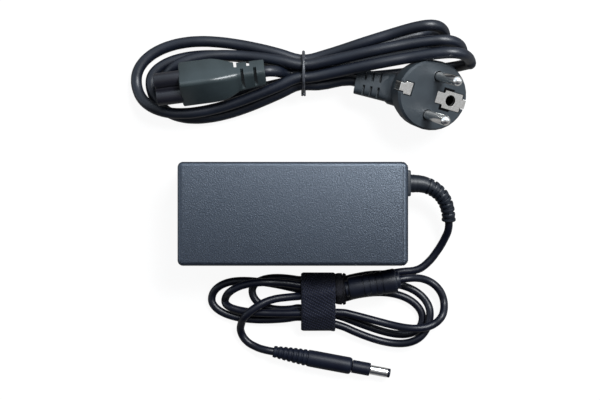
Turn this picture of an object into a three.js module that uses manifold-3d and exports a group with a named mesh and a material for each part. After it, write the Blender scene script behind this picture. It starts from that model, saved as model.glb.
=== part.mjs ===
// Laptop power adapter with its output lead and its mains lead, both folded into hanks.
// Millimetres, +Z up. Origin: centre of the adapter's bottom face. +X: towards the output lead.
import * as THREE from "three";
import { mergeVertices } from "three/addons/utils/BufferGeometryUtils.js";
import Module from "manifold-3d";

const wasm = await Module();
wasm.setup();

// ---------- driving dimensions ----------
const gap = 0.3; // clearance between pieces that touch

// adapter case
const caseLength = 108.4;
const caseWidth = 49;
const caseHeight = 30;
const caseWall = 2.4;
const caseCornerRadius = 2.6;
const caseEdgeRound = 2;
const seamHeight = 15;
const tongueHeight = 1.4;
const tongueThickness = 0.7;
const endGrooveInset = 2.1; // shallow line round the case near its output end
const endGrooveWidth = 0.4;
const endGrooveDepth = 0.35;

// mains inlet and its pins
const inletWidth = 22;
const inletHeight = 18;
const inletDepth = 18;
const recessDepth = 13;
const recessClearance = 0.5;
const contactPitch = 9.2; // line to neutral
const contactDrop = 2.4; // line and neutral below the centre
const earthRise = 4.2;
const lobeRadius = 3.9;
const coreRadius = 4.6;
const inletPinRadius = 1.2;
const inletPinInset = 3.2; // from the case end to the pin tips
const inletPinTail = 2.5; // behind the housing

// output strain relief
const outletY = 14.5;
const outletFlange = 12.5;
const outletFlangeThickness = 1.5;
const outletNeck = 9.4;
const bootRadius = 4.6;
const bootEndRadius = 3.1;
const bootRibs = 8;
const bootRibDepth = 0.75;

// cords
const dcCordRadius = 1.9;
const mainsCordRadius = 2.7;

// ferrite
const ferriteLength = 26.8;
const ferriteSmallRadius = 5.4;
const ferriteLargeRadius = 5.9;
const ferriteCollarRadius = 3.9;
const ferriteCollarLength = 1.7;
const ferriteRings = 4;
const ferriteRingDepth = 0.35;
const ferriteCoreRadius = 3.9;
const ferriteCoreLength = 18;

// hook and loop strap
const strapWidth = 16;
const strapThickness = 1.3;
const strapCentreX = 12.5;
const strapEase = 0.42; // clear of the strands it holds
const anchorWidth = 3.6;
const anchorThickness = 1;

// output plug
const gripLength = 39.1;
const gripStartRadius = 2.8;
const gripEndRadius = 4.15;
const gripTaper = 22; // length over which it widens
const gripRibs = 7;
const gripRibbed = 17; // length with ribs
const gripRibDepth = 0.45;
const collarRadius = 3.2;
const collarLength = 8.8;
const barrelRadius = 2.3;
const barrelBoreRadius = 1.5;
const barrelLength = 8.4;
const tipLength = 1.2;
const centrePinRadius = 0.4;

// cloverleaf connector on the mains lead
const noseLength = 11.9;
const noseRoot = 6; // length of the nose held in the body
const bodyLength = 27.6;
const bodyWidth = 16.4;
const bodyHeight = 15.8;
const bodyRound = 2;
const reliefLength = 13.3;
const reliefWidth = 9.4;
const reliefHeight = 8.8;
const reliefRise = 1.3; // tail axis above the body's
const reliefSlot = 1.5;
const contactRadius = 1.8;
const contactBoreRadius = 1.3;
const contactLength = noseLength - 2.7;
const contactInset = 1.5;

// twist tie
const tieRadius = 0.75;
const tieTail = 2; // twisted end

// mains plug
const plugFaceRadius = 18.8; // towards the earth clips
const plugSideRadius = 16.7; // towards the pins
const plugBackRadius = 14.8;
const plugDepth = 16;
const pinSpacing = 19;
const pinRadius = 2.4;
const pinLength = 19;
const pinRoot = 4; // length of pin held in the body
const earthSocketOffset = 10;
const earthSocketRadius = 2.4;
const earthSleeveRadius = 3.2;
const earthSleeveDepth = 11;
const clipThickness = 0.9;
const clipWidth = 6.2; // left clip, on the face
const clipLength = 4.2;
const clipTongueWidth = 4.2; // where a clip goes over the rim
const clipTongueLength = 2.4;
const clipDepth = 6; // down the side
const earthPlateEdge = 5.9; // right clip: a plate round the socket, with a tab towards the middle
const earthPlateWidth = 8.6;
const earthTabLength = 4;
const earthTabWidth = 5.6;
const plugReliefWidth = 13;
const plugReliefHeight = 10;
const plugReliefLength = 26.2;
const plugReliefTilt = 31; // degrees behind the plane of the face
const plugReliefYaw = 2; // degrees, as it lies bent a little

// ---------- shared shape helpers ----------
const V = (x, y, z) => new THREE.Vector3(x, y, z);

function positionsOnly(geometry) {
  const bare = geometry.clone();
  bare.deleteAttribute("normal");
  bare.deleteAttribute("uv");
  return mergeVertices(bare, 1e-4);
}

function toSolid(geometry) {
  const merged = positionsOnly(geometry);
  const vertProperties = new Float32Array(merged.attributes.position.array);
  const triVerts = new Uint32Array(merged.index.array);
  return new wasm.Manifold(new wasm.Mesh({ numProp: 3, vertProperties, triVerts }));
}

function fromSolid(solid) {
  const mesh = solid.getMesh();
  const geometry = new THREE.BufferGeometry();
  geometry.setAttribute("position", new THREE.BufferAttribute(new Float32Array(mesh.vertProperties), 3));
  geometry.setIndex(new THREE.BufferAttribute(new Uint32Array(mesh.triVerts), 1));
  return geometry;
}

function combine(operation, first, others) {
  return fromSolid(others.reduce((solid, other) => solid[operation](toSolid(other)), toSolid(first)));
}
const cut = (geometry, ...tools) => combine("subtract", geometry, tools);
const join = (geometry, ...others) => combine("add", geometry, others);
const keep = (geometry, ...regions) => combine("intersect", geometry, regions);

function box(x0, x1, y0, y1, z0, z1) {
  const geometry = new THREE.BoxGeometry(x1 - x0, y1 - y0, z1 - z0);
  return geometry.translate((x0 + x1) / 2, (y0 + y1) / 2, (z0 + z1) / 2);
}

const axisTurns = { x: (g) => g.rotateZ(-Math.PI / 2), y: (g) => g, z: (g) => g.rotateX(Math.PI / 2) };

// A rod whose start is at the origin and which runs along +axis.
function rod(radius, length, axis = "x", sides = 20) {
  const geometry = new THREE.CylinderGeometry(radius, radius, length, sides).translate(0, length / 2, 0);
  return axisTurns[axis](geometry);
}

// A turned piece along +X from [x, radius] points, which start and end on the axis.
function turned(profile, sides = 20) {
  const points = profile.map(([x, radius]) => new THREE.Vector2(radius, x));
  return new THREE.LatheGeometry(points, sides).rotateZ(-Math.PI / 2);
}

// A sleeve along +X with a bore right through it.
function sleeve(outer, inner, length, sides = 20) {
  return turned([[0, inner], [0, outer], [length, outer], [length, inner], [0, inner]], sides);
}

function roundedShape(width, height, radius) {
  const x = width / 2;
  const y = height / 2;
  const shape = new THREE.Shape();
  shape.moveTo(-x + radius, -y);
  shape.lineTo(x - radius, -y);
  shape.absarc(x - radius, -y + radius, radius, -Math.PI / 2, 0);
  shape.lineTo(x, y - radius);
  shape.absarc(x - radius, y - radius, radius, 0, Math.PI / 2);
  shape.lineTo(-x + radius, y);
  shape.absarc(-x + radius, y - radius, radius, Math.PI / 2, Math.PI);
  shape.lineTo(-x, -y + radius);
  shape.absarc(-x + radius, -y + radius, radius, Math.PI, Math.PI * 1.5);
  return shape;
}

function extruded(shape, depth, curveSegments = 4) {
  return new THREE.ExtrudeGeometry(shape, { depth, bevelEnabled: false, curveSegments });
}

// Closed skin over rings of equal count. The last ring joins the first when looped, else both ends have caps.
function skin(rings, looped = false) {
  const count = rings[0].length;
  const positions = rings.flat().flatMap((p) => [p.x, p.y, p.z]);
  const index = [];
  const spans = looped ? rings.length : rings.length - 1;
  for (let i = 0; i < spans; i++) {
    const a = i * count;
    const b = ((i + 1) % rings.length) * count;
    for (let j = 0; j < count; j++) {
      const k = (j + 1) % count;
      index.push(a + j, a + k, b + k, a + j, b + k, b + j);
    }
  }
  if (!looped) {
    const last = (rings.length - 1) * count;
    for (let j = 1; j < count - 1; j++) {
      index.push(0, j + 1, j, last, last + j, last + j + 1);
    }
  }
  const geometry = new THREE.BufferGeometry();
  geometry.setAttribute("position", new THREE.Float32BufferAttribute(positions, 3));
  geometry.setIndex(index);
  return geometry;
}

// Frames carried along a path without twist, one at each point.
function pathFrames(points, looped = false) {
  const count = points.length;
  const side = V(0, 0, 1);
  return points.map((point, i) => {
    const before = looped ? points[(i + count - 1) % count] : points[Math.max(i - 1, 0)];
    const after = looped ? points[(i + 1) % count] : points[Math.min(i + 1, count - 1)];
    const along = after.clone().sub(before).normalize();
    side.addScaledVector(along, -side.dot(along)).normalize();
    return { point, along, side: side.clone(), up: along.clone().cross(side) };
  });
}

function ringAt(frame, radius, sides, flatten = 1) {
  return Array.from({ length: sides }, (_, j) => {
    const angle = (2 * Math.PI * (j + 0.5)) / sides;
    return frame.point.clone()
      .addScaledVector(frame.side, radius * flatten * Math.cos(angle))
      .addScaledVector(frame.up, radius * Math.sin(angle));
  });
}

// A round section carried through the points themselves, for wound cords and the wire.
function wound(points, radius, sides, looped = false) {
  return skin(pathFrames(points, looped).map((frame) => ringAt(frame, radius, sides)), looped);
}

// A free stretch of cord along a smooth curve through hand-set points.
function freeCord(points, radius, step) {
  const path = new THREE.CatmullRomCurve3(points, false, "centripetal");
  const steps = Math.ceil(path.getLength() / step);
  const shape = new THREE.Shape().absarc(0, 0, radius, 0, 2 * Math.PI);
  const settings = { steps, curveSegments: 8, bevelEnabled: false, extrudePath: path };
  return new THREE.ExtrudeGeometry(shape, settings);
}

// ---------- cord routes ----------
const lerp = THREE.MathUtils.lerp;

// Value between evenly spaced levels, eased from each to the next.
function level(values, t) {
  const place = t * (values.length - 1);
  const i = Math.min(Math.floor(place), values.length - 2);
  return lerp(values[i], values[i + 1], (1 - Math.cos(Math.PI * (place - i))) / 2);
}

// One end loop of a hank, from the waist round the tip and back. reach: x of the tip; lean: how far the tip
// leaves the middle in y; bulge: how far the going and returning halves swell in y; heights: along the loop.
function endLoop({ from, to, reach, lean, bulge, heights }, steps) {
  const middle = (from.x + to.x) / 2;
  const levels = [from.z, ...heights, to.z];
  return Array.from({ length: steps + 1 }, (_, i) => {
    const t = i / steps;
    const pass = (1 - Math.cos(Math.PI * t)) / 2;
    const out = Math.sin(Math.PI * t);
    const swell = Math.sin(2 * Math.PI * t) * (t < 0.5 ? bulge[0] : -bulge[1]);
    const x = lerp(from.x, to.x, pass) + (reach - middle) * out;
    const y = lerp(from.y, to.y, pass) + lean * out * out + swell;
    return V(x, y, level(levels, t));
  });
}

function densePath(points, spacing = 1) {
  const path = [];
  for (let i = 0; i < points.length - 1; i++) {
    const steps = Math.max(1, Math.round(points[i].distanceTo(points[i + 1]) / spacing));
    for (let k = 0; k < steps; k++) {
      path.push(points[i].clone().lerp(points[i + 1], k / steps));
    }
  }
  return path;
}

// Least clear distance of a wound cord to itself, between places more than three diameters apart along it.
function leastGap(points, radius) {
  const path = densePath(points);
  const skip = Math.ceil(radius * 6);
  let least = Infinity;
  for (let i = 0; i < path.length; i++) {
    for (let j = i + skip; j < path.length; j++) {
      least = Math.min(least, path[i].distanceTo(path[j]));
    }
  }
  return least - 2 * radius;
}

const loopSteps = 12; // for each end loop

// Output lead. It lies on the surface, passes the strap seven times and turns three times at each end.
const dcLow = dcCordRadius + 0.05;
const dcWaistLow = 3.7;
const dcRight = 24.6; // waist edges in x
const dcLeft = 2.6;
const dcMiddle = (dcRight + dcLeft) / 2;

// Cross-section of the bundle at the strap: [y, z] at its right edge, middle and left edge.
const dcStrands = {
  first: [[-32.6, dcWaistLow], [-32.6, dcWaistLow], [-32.6, dcWaistLow]],
  second: [[-41.6, dcWaistLow], [-40.6, dcWaistLow], [-37.3, dcWaistLow]],
  third: [[-37.1, dcWaistLow], [-36.5, 5.95], [-34.9, 7.5]],
  ferrite: [[-36.8, 11.1], [-38.6, 10.7], [-40.4, 8.4]],
  firstBack: [[-51, dcWaistLow], [-48.2, dcWaistLow], [-46.4, dcWaistLow]],
  secondBack: [[-55.6, dcWaistLow], [-52.7, dcWaistLow], [-50.9, dcWaistLow]],
  thirdBack: [[-48.4, 7.9], [-48.6, 8.1], [-48.6, 7.6]],
};
function dcStrand(name) {
  const stations = [dcRight, dcMiddle, dcLeft];
  return dcStrands[name].map(([y, z], i) => V(stations[i], y, z));
}

// Ferrite axis on the cord, from the end by the outer loop to the end by the strap.
const ferriteEnd = V(52.6, -31.9, 11.5);
const ferriteStart = V(26.8, -36.4, 11.2);

function dcHankRoute() {
  const [firstRight, firstMiddle, firstLeft] = dcStrand("first");
  const [secondRight, secondMiddle, secondLeft] = dcStrand("second");
  const [thirdRight, thirdMiddle, thirdLeft] = dcStrand("third");
  const [ferriteRight, ferriteMiddle, ferriteLeft] = dcStrand("ferrite");
  const [firstBackRight, firstBackMiddle, firstBackLeft] = dcStrand("firstBack");
  const [secondBackRight, secondBackMiddle, secondBackLeft] = dcStrand("secondBack");
  const [thirdBackRight, thirdBackMiddle, thirdBackLeft] = dcStrand("thirdBack");
  const flat = [dcLow, dcLow, dcLow, dcLow, dcLow];
  const leftInner = {
    from: firstLeft, to: firstBackLeft, reach: -20, lean: 1.3, bulge: [1.7, -2.3], heights: flat,
  };
  const rightInner = {
    from: firstBackRight, to: secondRight, reach: 63.7, lean: -5.1, bulge: [-7.4, 5.2], heights: flat,
  };
  const leftOuter = {
    from: secondLeft, to: secondBackLeft, reach: -39.9, lean: 1.7, bulge: [5.35, -3.15],
    heights: [7, 4.2, dcLow, dcLow, dcLow],
  };
  const rightMiddle = {
    from: secondBackRight, to: thirdRight, reach: 67.1, lean: -2.5, bulge: [-9.5, 5.2],
    heights: [3.6, 5.9, 5, 2.4, dcLow],
  };
  const leftMiddle = {
    from: thirdLeft, to: thirdBackLeft, reach: -33.3, lean: -1.5, bulge: [3.2, -0.65],
    heights: [11.7, 10, 2.6, 4.7, 6.4],
  };
  const rightOuter = {
    from: thirdBackRight, to: ferriteEnd, reach: 71.1, lean: -11.7, bulge: [-3.2, 2.9],
    heights: [7.6, 10.6, 9.1, 4.7, 5.2],
  };
  const start = V(57.5, -28.2, dcLow);
  const startAlong = V(-1, -0.14, 0).normalize();
  return [
    start,
    start.clone().addScaledVector(startAlong, 2 * dcCordRadius),
    V(46, -29.8, dcLow),
    V(38, -30.2, dcLow),
    V(30, -31.5, 2.8),
    firstRight, firstMiddle,
    ...endLoop(leftInner, loopSteps),
    firstBackMiddle,
    ...endLoop(rightInner, loopSteps),
    secondMiddle,
    ...endLoop(leftOuter, loopSteps),
    secondBackMiddle,
    ...endLoop(rightMiddle, loopSteps),
    thirdMiddle,
    ...endLoop(leftMiddle, loopSteps),
    thirdBackMiddle,
    ...endLoop(rightOuter, loopSteps),
    ferriteEnd.clone().lerp(ferriteStart, 0.5),
    ferriteStart,
    ferriteRight, ferriteMiddle, ferriteLeft,
    V(ferriteLeft.x - 2 * dcCordRadius, ferriteLeft.y - 0.3, ferriteLeft.z),
  ];
}

// Mains lead: seven strands at the tie, one in the middle and six round it.
const mainsLow = mainsCordRadius + 0.05;
const tieX = 5.2;
const mainsPitch = 6.1;
const mainsBundle = V(tieX, 68.5, mainsLow + 1.85 + mainsPitch * Math.sin(Math.PI / 3));
const mainsRight = tieX + 2;
const mainsLeft = tieX - 2;
function mainsStrand(sixth) {
  const angle = (sixth * Math.PI) / 3;
  const reach = sixth === null ? 0 : mainsPitch;
  const y = mainsBundle.y + reach * Math.cos(angle);
  const z = mainsBundle.z + reach * Math.sin(angle);
  return { right: V(mainsRight, y, z), middle: V(tieX, y, z), left: V(mainsLeft, y, z) };
}

function mainsHankRoute() {
  const centre = mainsStrand(null);
  const outerTop = mainsStrand(0);
  const upperTop = mainsStrand(1);
  const upperBottom = mainsStrand(2);
  const outerBottom = mainsStrand(3);
  const lowerBottom = mainsStrand(4);
  const lowerTop = mainsStrand(5);
  const rightMiddle = {
    from: centre.right, to: upperTop.right, reach: 81.8, lean: 8, bulge: [5.3, 6.3],
    heights: [6, mainsLow, 13, 24, 21.5],
  };
  const leftInner = {
    from: upperTop.left, to: lowerBottom.left, reach: -62.4, lean: -4.5, bulge: [7.7, -6.9],
    heights: [9.4, 9.2, 4.6, mainsLow, mainsLow],
  };
  const rightLower = {
    from: lowerBottom.right, to: upperBottom.right, reach: 85.7, lean: 6.8, bulge: [0.8, 6.1],
    heights: [2.9, mainsLow, 14, 28.5, 24],
  };
  const leftOuter = {
    from: upperBottom.left, to: outerTop.left, reach: -76.8, lean: -4.5, bulge: [-16, 12.5],
    heights: [9.9, 8.9, 3.2, mainsLow, 5.5],
  };
  const rightUpper = {
    from: outerTop.right, to: lowerTop.right, reach: 73.5, lean: 12.2, bulge: [7.4, 7.5],
    heights: [18, 24, 13, mainsLow, 3],
  };
  const leftMiddle = {
    from: lowerTop.left, to: outerBottom.left, reach: -69.7, lean: -2.5, bulge: [8.1, -15.9],
    heights: [mainsLow, mainsLow, mainsLow, mainsLow, 3],
  };
  const start = centre.left.clone().add(V(-2 * mainsCordRadius, -0.4, 0.6));
  return [
    start, centre.left, centre.middle,
    ...endLoop(rightMiddle, loopSteps),
    upperTop.middle,
    ...endLoop(leftInner, loopSteps),
    lowerBottom.middle,
    ...endLoop(rightLower, loopSteps),
    upperBottom.middle,
    ...endLoop(leftOuter, loopSteps),
    outerTop.middle,
    ...endLoop(rightUpper, loopSteps),
    lowerTop.middle,
    ...endLoop(leftMiddle, loopSteps),
    outerBottom.middle,
    outerBottom.right,
    outerBottom.right.clone().add(V(2 * mainsCordRadius, 0, 0)),
  ];
}

// ---------- the model ----------
const model = new THREE.Group();

const finishes = {
  case: { color: 0x3a414d, roughness: 0.62, metalness: 0 },
  cord: { color: 0x1c2029, roughness: 0.38, metalness: 0 },
  moulding: { color: 0x20252b, roughness: 0.6, metalness: 0 },
  weave: { color: 0x15171d, roughness: 0.95, metalness: 0 },
  chrome: { color: 0xc9ccd0, roughness: 0.15, metalness: 1 },
  brass: { color: 0xc2a25a, roughness: 0.3, metalness: 1 },
  board: { color: 0xb99a5a, roughness: 0.7, metalness: 0 },
  film: { color: 0xe8e4d8, roughness: 0.5, metalness: 0 },
  ferrite: { color: 0x2b2b2d, roughness: 0.8, metalness: 0 },
  winding: { color: 0xd9b43a, roughness: 0.5, metalness: 0 },
  capacitor: { color: 0x22242c, roughness: 0.35, metalness: 0 },
  heatsink: { color: 0xa9adb3, roughness: 0.4, metalness: 0.9 },
  package: { color: 0x17181a, roughness: 0.7, metalness: 0 },
  filmCapacitor: { color: 0xd8b02c, roughness: 0.5, metalness: 0 },
  wire: { color: 0x101216, roughness: 0.5, metalness: 0 },
};

function addPiece(name, finish, geometry, parent = model) {
  const piece = new THREE.Mesh(geometry, new THREE.MeshStandardMaterial(finishes[finish]));
  piece.name = name;
  parent.add(piece);
  return piece;
}

// ---------- cloverleaf section, shared by the inlet recess and the connector nose ----------
const contactPlaces = [
  { name: "line", y: -contactPitch / 2, z: -contactDrop },
  { name: "neutral", y: contactPitch / 2, z: -contactDrop },
  { name: "earth", y: 0, z: earthRise },
];

// Outline in the YZ plane as the farthest edge of three lobes and a core, seen from the centre.
function cloverShape(extra) {
  const circles = contactPlaces.map((place) => ({ y: place.y, z: place.z, radius: lobeRadius + extra }));
  circles.push({ y: 0, z: 0, radius: coreRadius + extra });
  const count = 32;
  const points = Array.from({ length: count }, (_, i) => {
    const angle = (2 * Math.PI * i) / count;
    const dy = Math.cos(angle);
    const dz = Math.sin(angle);
    const reaches = circles.map(({ y, z, radius }) => {
      const along = y * dy + z * dz;
      const inside = radius ** 2 - (y ** 2 + z ** 2 - along ** 2);
      return inside < 0 ? 0 : along + Math.sqrt(inside);
    });
    const reach = Math.max(...reaches);
    return new THREE.Vector2(reach * dy, reach * dz);
  });
  return new THREE.Shape(points);
}

// Shape drawn in YZ, extruded along +X from x0.
function alongX(shape, x0, length, curveSegments = 4) {
  const geometry = extruded(shape, length, curveSegments);
  geometry.applyMatrix4(new THREE.Matrix4().makeBasis(V(0, 1, 0), V(0, 0, 1), V(1, 0, 0)));
  return geometry.translate(x0, 0, 0);
}

// ---------- adapter case ----------
const halfLength = caseLength / 2;
const inletHoleWidth = inletWidth + 2 * gap;
const inletHoleHeight = inletHeight + 2 * gap;
const neckHole = outletNeck + 2 * gap;

function caseOuter() {
  const inset = 2 * caseEdgeRound;
  const radius = caseCornerRadius - caseEdgeRound;
  const shape = roundedShape(caseLength - inset, caseWidth - inset, radius);
  const geometry = new THREE.ExtrudeGeometry(shape, {
    depth: caseHeight - inset,
    bevelThickness: caseEdgeRound,
    bevelSize: caseEdgeRound,
    bevelSegments: 3,
    curveSegments: 4,
  });
  return geometry.translate(0, 0, caseEdgeRound);
}

// A layer of the wall between two insets, between two heights.
function wallLayer(outerInset, innerInset, z0, z1) {
  const slab = (inset) => {
    const radius = Math.max(caseCornerRadius - inset, 0.5);
    const outline = roundedShape(caseLength - 2 * inset, caseWidth - 2 * inset, radius);
    return extruded(outline, z1 - z0).translate(0, 0, z0);
  };
  return cut(slab(outerInset), slab(innerInset));
}

function caseOpenings() {
  const inlet = box(-1, caseWall + 1, -inletHoleWidth / 2, inletHoleWidth / 2,
    -inletHoleHeight / 2, inletHoleHeight / 2).translate(-halfLength, 0, seamHeight);
  const outlet = box(-caseWall - 1, 1, -neckHole / 2, neckHole / 2, -neckHole / 2, neckHole / 2)
    .translate(halfLength, outletY, seamHeight);
  return [inlet, outlet];
}

function caseShell() {
  const cavityLength = caseLength - 2 * caseWall;
  const cavityWidth = caseWidth - 2 * caseWall;
  const cavity = extruded(roundedShape(cavityLength, cavityWidth, 1), caseHeight - 2 * caseWall, 2)
    .translate(0, 0, caseWall);
  const lineOuter = box(halfLength - endGrooveInset - endGrooveWidth, halfLength - endGrooveInset,
    -caseWidth, caseWidth, -1, caseHeight + 1);
  const lineInner = box(-halfLength, halfLength, -caseWidth / 2 + endGrooveDepth,
    caseWidth / 2 - endGrooveDepth, endGrooveDepth, caseHeight - endGrooveDepth);
  return cut(caseOuter(), cavity, cut(lineOuter, lineInner), ...caseOpenings());
}

const tongueOuter = caseWall - tongueThickness; // inset of the tongue's outer face
const shell = caseShell();
const belowSeam = box(-caseLength, caseLength, -caseWidth, caseWidth, -1, seamHeight - gap / 2);
const aboveSeam = box(-caseLength, caseLength, -caseWidth, caseWidth, seamHeight + gap / 2, caseHeight + 1);

// circuit board on four posts of the bottom cover
const boardLeft = -halfLength + inletDepth + 2.5;
const boardRight = halfLength - caseWall - 4.6;
const boardWidth = caseWidth - 2 * (caseWall + 1.6);
const boardEdge = boardWidth / 2;
const boardBottom = caseWall + 2.6;
const boardThickness = 1.6;
const boardTop = boardBottom + boardThickness;
const postRadius = 2;
const postInset = 3;
const postPlaces = [boardLeft + postInset, boardRight - postInset].flatMap((x) =>
  [-1, 1].map((side) => ({ x, y: side * (boardEdge - postInset) })));

function bottomCover() {
  const tongueLayer = wallLayer(tongueOuter, caseWall, caseWall + 1, seamHeight + tongueHeight);
  const tongue = cut(tongueLayer, ...caseOpenings());
  const posts = postPlaces.map(({ x, y }) =>
    rod(postRadius, boardBottom - gap - caseWall + 0.5, "z", 12).translate(x, y, caseWall - 0.5));
  return join(keep(shell, belowSeam), tongue, ...posts);
}

function topCover() {
  const rebateTop = seamHeight + tongueHeight + gap;
  const rebate = wallLayer(tongueOuter - gap, caseWall + 0.2, seamHeight - 1, rebateTop);
  return cut(keep(shell, aboveSeam), rebate);
}

addPiece("bottom_cover", "case", bottomCover());
addPiece("top_cover", "case", topCover());

// ---------- mains inlet ----------
const inletFace = -halfLength + gap;
const inletFlange = 1.5;
const inletBack = inletFace + inletDepth;
const inletSeat = -halfLength + caseWall + gap; // flange face behind the case wall

function inletHousing() {
  const flangeWidth = inletWidth + 4;
  const flangeHeight = inletHeight + 4;
  const block = alongX(roundedShape(inletWidth, inletHeight, 1), inletFace, inletDepth, 2);
  const flange = alongX(roundedShape(flangeWidth, flangeHeight, 1), inletSeat, inletFlange, 2);
  const recess = alongX(cloverShape(recessClearance), inletFace - 1, recessDepth + 1);
  const pinHoles = contactPlaces.map(({ y, z }) =>
    rod(inletPinRadius + gap, inletDepth, "x", 12).translate(inletFace + recessDepth - 1, y, z));
  return cut(join(block, flange), recess, ...pinHoles).translate(0, 0, seamHeight);
}
addPiece("inlet_housing", "moulding", inletHousing());

const inletPinStart = -halfLength + inletPinInset;
const inletPinLength = inletBack + inletPinTail - inletPinStart;
for (const { name, y, z } of contactPlaces) {
  const tip = 0.6;
  const profile = [[0, 0], [0, inletPinRadius - tip], [tip, inletPinRadius],
    [inletPinLength, inletPinRadius], [inletPinLength, 0]];
  const pin = addPiece(`inlet_pin_${name}`, "brass", turned(profile, 12));
  pin.position.set(inletPinStart, y, seamHeight + z);
}

// ---------- board and what stands on it ----------
addPiece("circuit_board", "board", box(boardLeft, boardRight, -boardEdge, boardEdge, boardBottom, boardTop));
const sheetThickness = 0.5;
const sheetEdge = boardEdge - postInset - postRadius - 0.5;
const sheetBottom = caseWall + gap;
addPiece("insulation_sheet", "film",
  box(boardLeft, boardRight, -sheetEdge, sheetEdge, sheetBottom, sheetBottom + sheetThickness));

const partBase = boardTop + gap;
const clearHeight = caseHeight - caseWall - partBase; // between the board's parts and the top cover

// A box standing on the board: where its middle is, and its width along X, depth along Y and height.
function standingBox(name, finish, [x, y], [width, depth, height]) {
  const geometry = box(x - width / 2, x + width / 2, y - depth / 2, y + depth / 2,
    partBase, partBase + height);
  return addPiece(name, finish, geometry);
}

// mains side: fuse, choke and suppressor by the inlet
const fuseRadius = 2.6;
const fuseLength = 14;
const fuseCap = 3;
const fuseGlass = fuseRadius - 0.3;
const fuse = turned([[0, 0], [0, fuseRadius], [fuseCap, fuseRadius], [fuseCap, fuseGlass],
  [fuseLength - fuseCap, fuseGlass], [fuseLength - fuseCap, fuseRadius], [fuseLength, fuseRadius],
  [fuseLength, 0]], 14);
addPiece("mains_fuse", "film", fuse)
  .position.set(boardLeft + 1, boardEdge - fuseRadius - 1.9, partBase + fuseRadius);

const chokeRadius = 6.5;
const chokeWire = 2.6;
const chokeX = boardLeft + chokeRadius + chokeWire + 0.4;
addPiece("suppression_choke", "winding", new THREE.TorusGeometry(chokeRadius, chokeWire, 8, 20))
  .position.set(chokeX, -1, partBase + chokeWire);

const suppressorLength = 16;
const suppressorDepth = 6.5;
const suppressorHeight = 13;
standingBox("suppression_capacitor", "filmCapacitor",
  [boardLeft + suppressorLength / 2 + 1, -boardEdge + suppressorDepth / 2 + 1.75],
  [suppressorLength, suppressorDepth, suppressorHeight]);

// bulk capacitor on its side, with a groove near its crimped end
const bulkRadius = (clearHeight - 2.7) / 2;
const bulkLength = (boardRight - boardLeft) * 0.32;
const bulkGroove = 0.8;
const bulkX = chokeX + chokeRadius + chokeWire + 0.9;
const bulk = turned([[0, 0], [0, bulkRadius], [2.2, bulkRadius], [2.8, bulkRadius - bulkGroove],
  [3.4, bulkRadius], [bulkLength, bulkRadius], [bulkLength, 0]], 20);
addPiece("bulk_capacitor", "capacitor", bulk)
  .position.set(bulkX, boardEdge - bulkRadius, partBase + bulkRadius);

// Heatsink along an edge of the board: an upright wall with a shelf bent inwards over the packages.
const finThickness = 1.5;
const finShelf = 5;
const finHeight = clearHeight - 1.7;
function heatsink(x0, x1, side) {
  const between = (outer, inner, z0, z1) => box(x0, x1, Math.min(side * outer, side * inner),
    Math.max(side * outer, side * inner), z0, z1);
  const finTop = partBase + finHeight;
  const wall = between(finEdge, finEdge - finThickness, partBase, finTop);
  const shelf = between(finEdge, finEdge - finShelf, finTop - finThickness, finTop);
  return join(wall, shelf);
}
const finEdge = boardEdge + 0.5; // outer face of a heatsink, from the middle of the board
const packageDepth = 4.5;
const packageHeight = finHeight - finThickness - 1;
const packageY = finEdge - finThickness - gap - packageDepth / 2;
const primaryLeft = boardLeft + suppressorLength + 2.5;
const primaryLength = 23;
const bridgeWidth = 11;
const transistorWidth = 9;
const bridgeX = primaryLeft + bridgeWidth / 2 + 1;
const transistorX = bridgeX + bridgeWidth / 2 + transistorWidth / 2 + 1;
addPiece("primary_heatsink", "heatsink", heatsink(primaryLeft, primaryLeft + primaryLength, -1));
standingBox("bridge_rectifier", "package", [bridgeX, -packageY], [bridgeWidth, packageDepth, packageHeight]);
standingBox("switching_transistor", "package", [transistorX, -packageY],
  [transistorWidth, packageDepth, packageHeight]);

// transformer: ferrite frame with a wound bobbin round its middle leg
const coreWidth = 23;
const coreDepth = 24;
const windingOverhang = 1.5; // above and below the core
const coreLift = windingOverhang + gap;
const coreHeight = clearHeight - coreLift - windingOverhang - 0.4;
const legWidth = 7;
const outerLeg = 3;
const yoke = 4.5;
const coreX = boardRight - coreWidth / 2 - 11.5;
const coreY = -2;
const windowDepth = coreDepth - 2 * yoke;
function transformerCore() {
  const frame = box(-coreWidth / 2, coreWidth / 2, -coreDepth / 2, coreDepth / 2, 0, coreHeight);
  const windows = [-1, 1].map((side) => {
    const inner = side * legWidth / 2;
    const outer = side * (coreWidth / 2 - outerLeg);
    return box(Math.min(inner, outer), Math.max(inner, outer), -windowDepth / 2, windowDepth / 2,
      -1, coreHeight + 1);
  });
  return cut(frame, ...windows);
}
function transformerWinding() {
  const windingWidth = coreWidth - 2 * (outerLeg + gap);
  const windingHeight = coreHeight + 2 * windingOverhang;
  const outer = extruded(roundedShape(windingWidth, windingHeight, 3), windowDepth - 2 * gap, 3);
  const bore = box(-legWidth / 2 - gap, legWidth / 2 + gap, -coreHeight / 2 - gap, coreHeight / 2 + gap,
    -1, coreDepth);
  const winding = cut(outer, bore);
  winding.rotateX(Math.PI / 2);
  return winding.translate(0, windowDepth / 2 - gap, coreHeight / 2);
}
addPiece("transformer_core", "ferrite", transformerCore()).position.set(coreX, coreY, partBase + coreLift);
addPiece("transformer_winding", "winding", transformerWinding())
  .position.set(coreX, coreY, partBase + coreLift);

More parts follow.
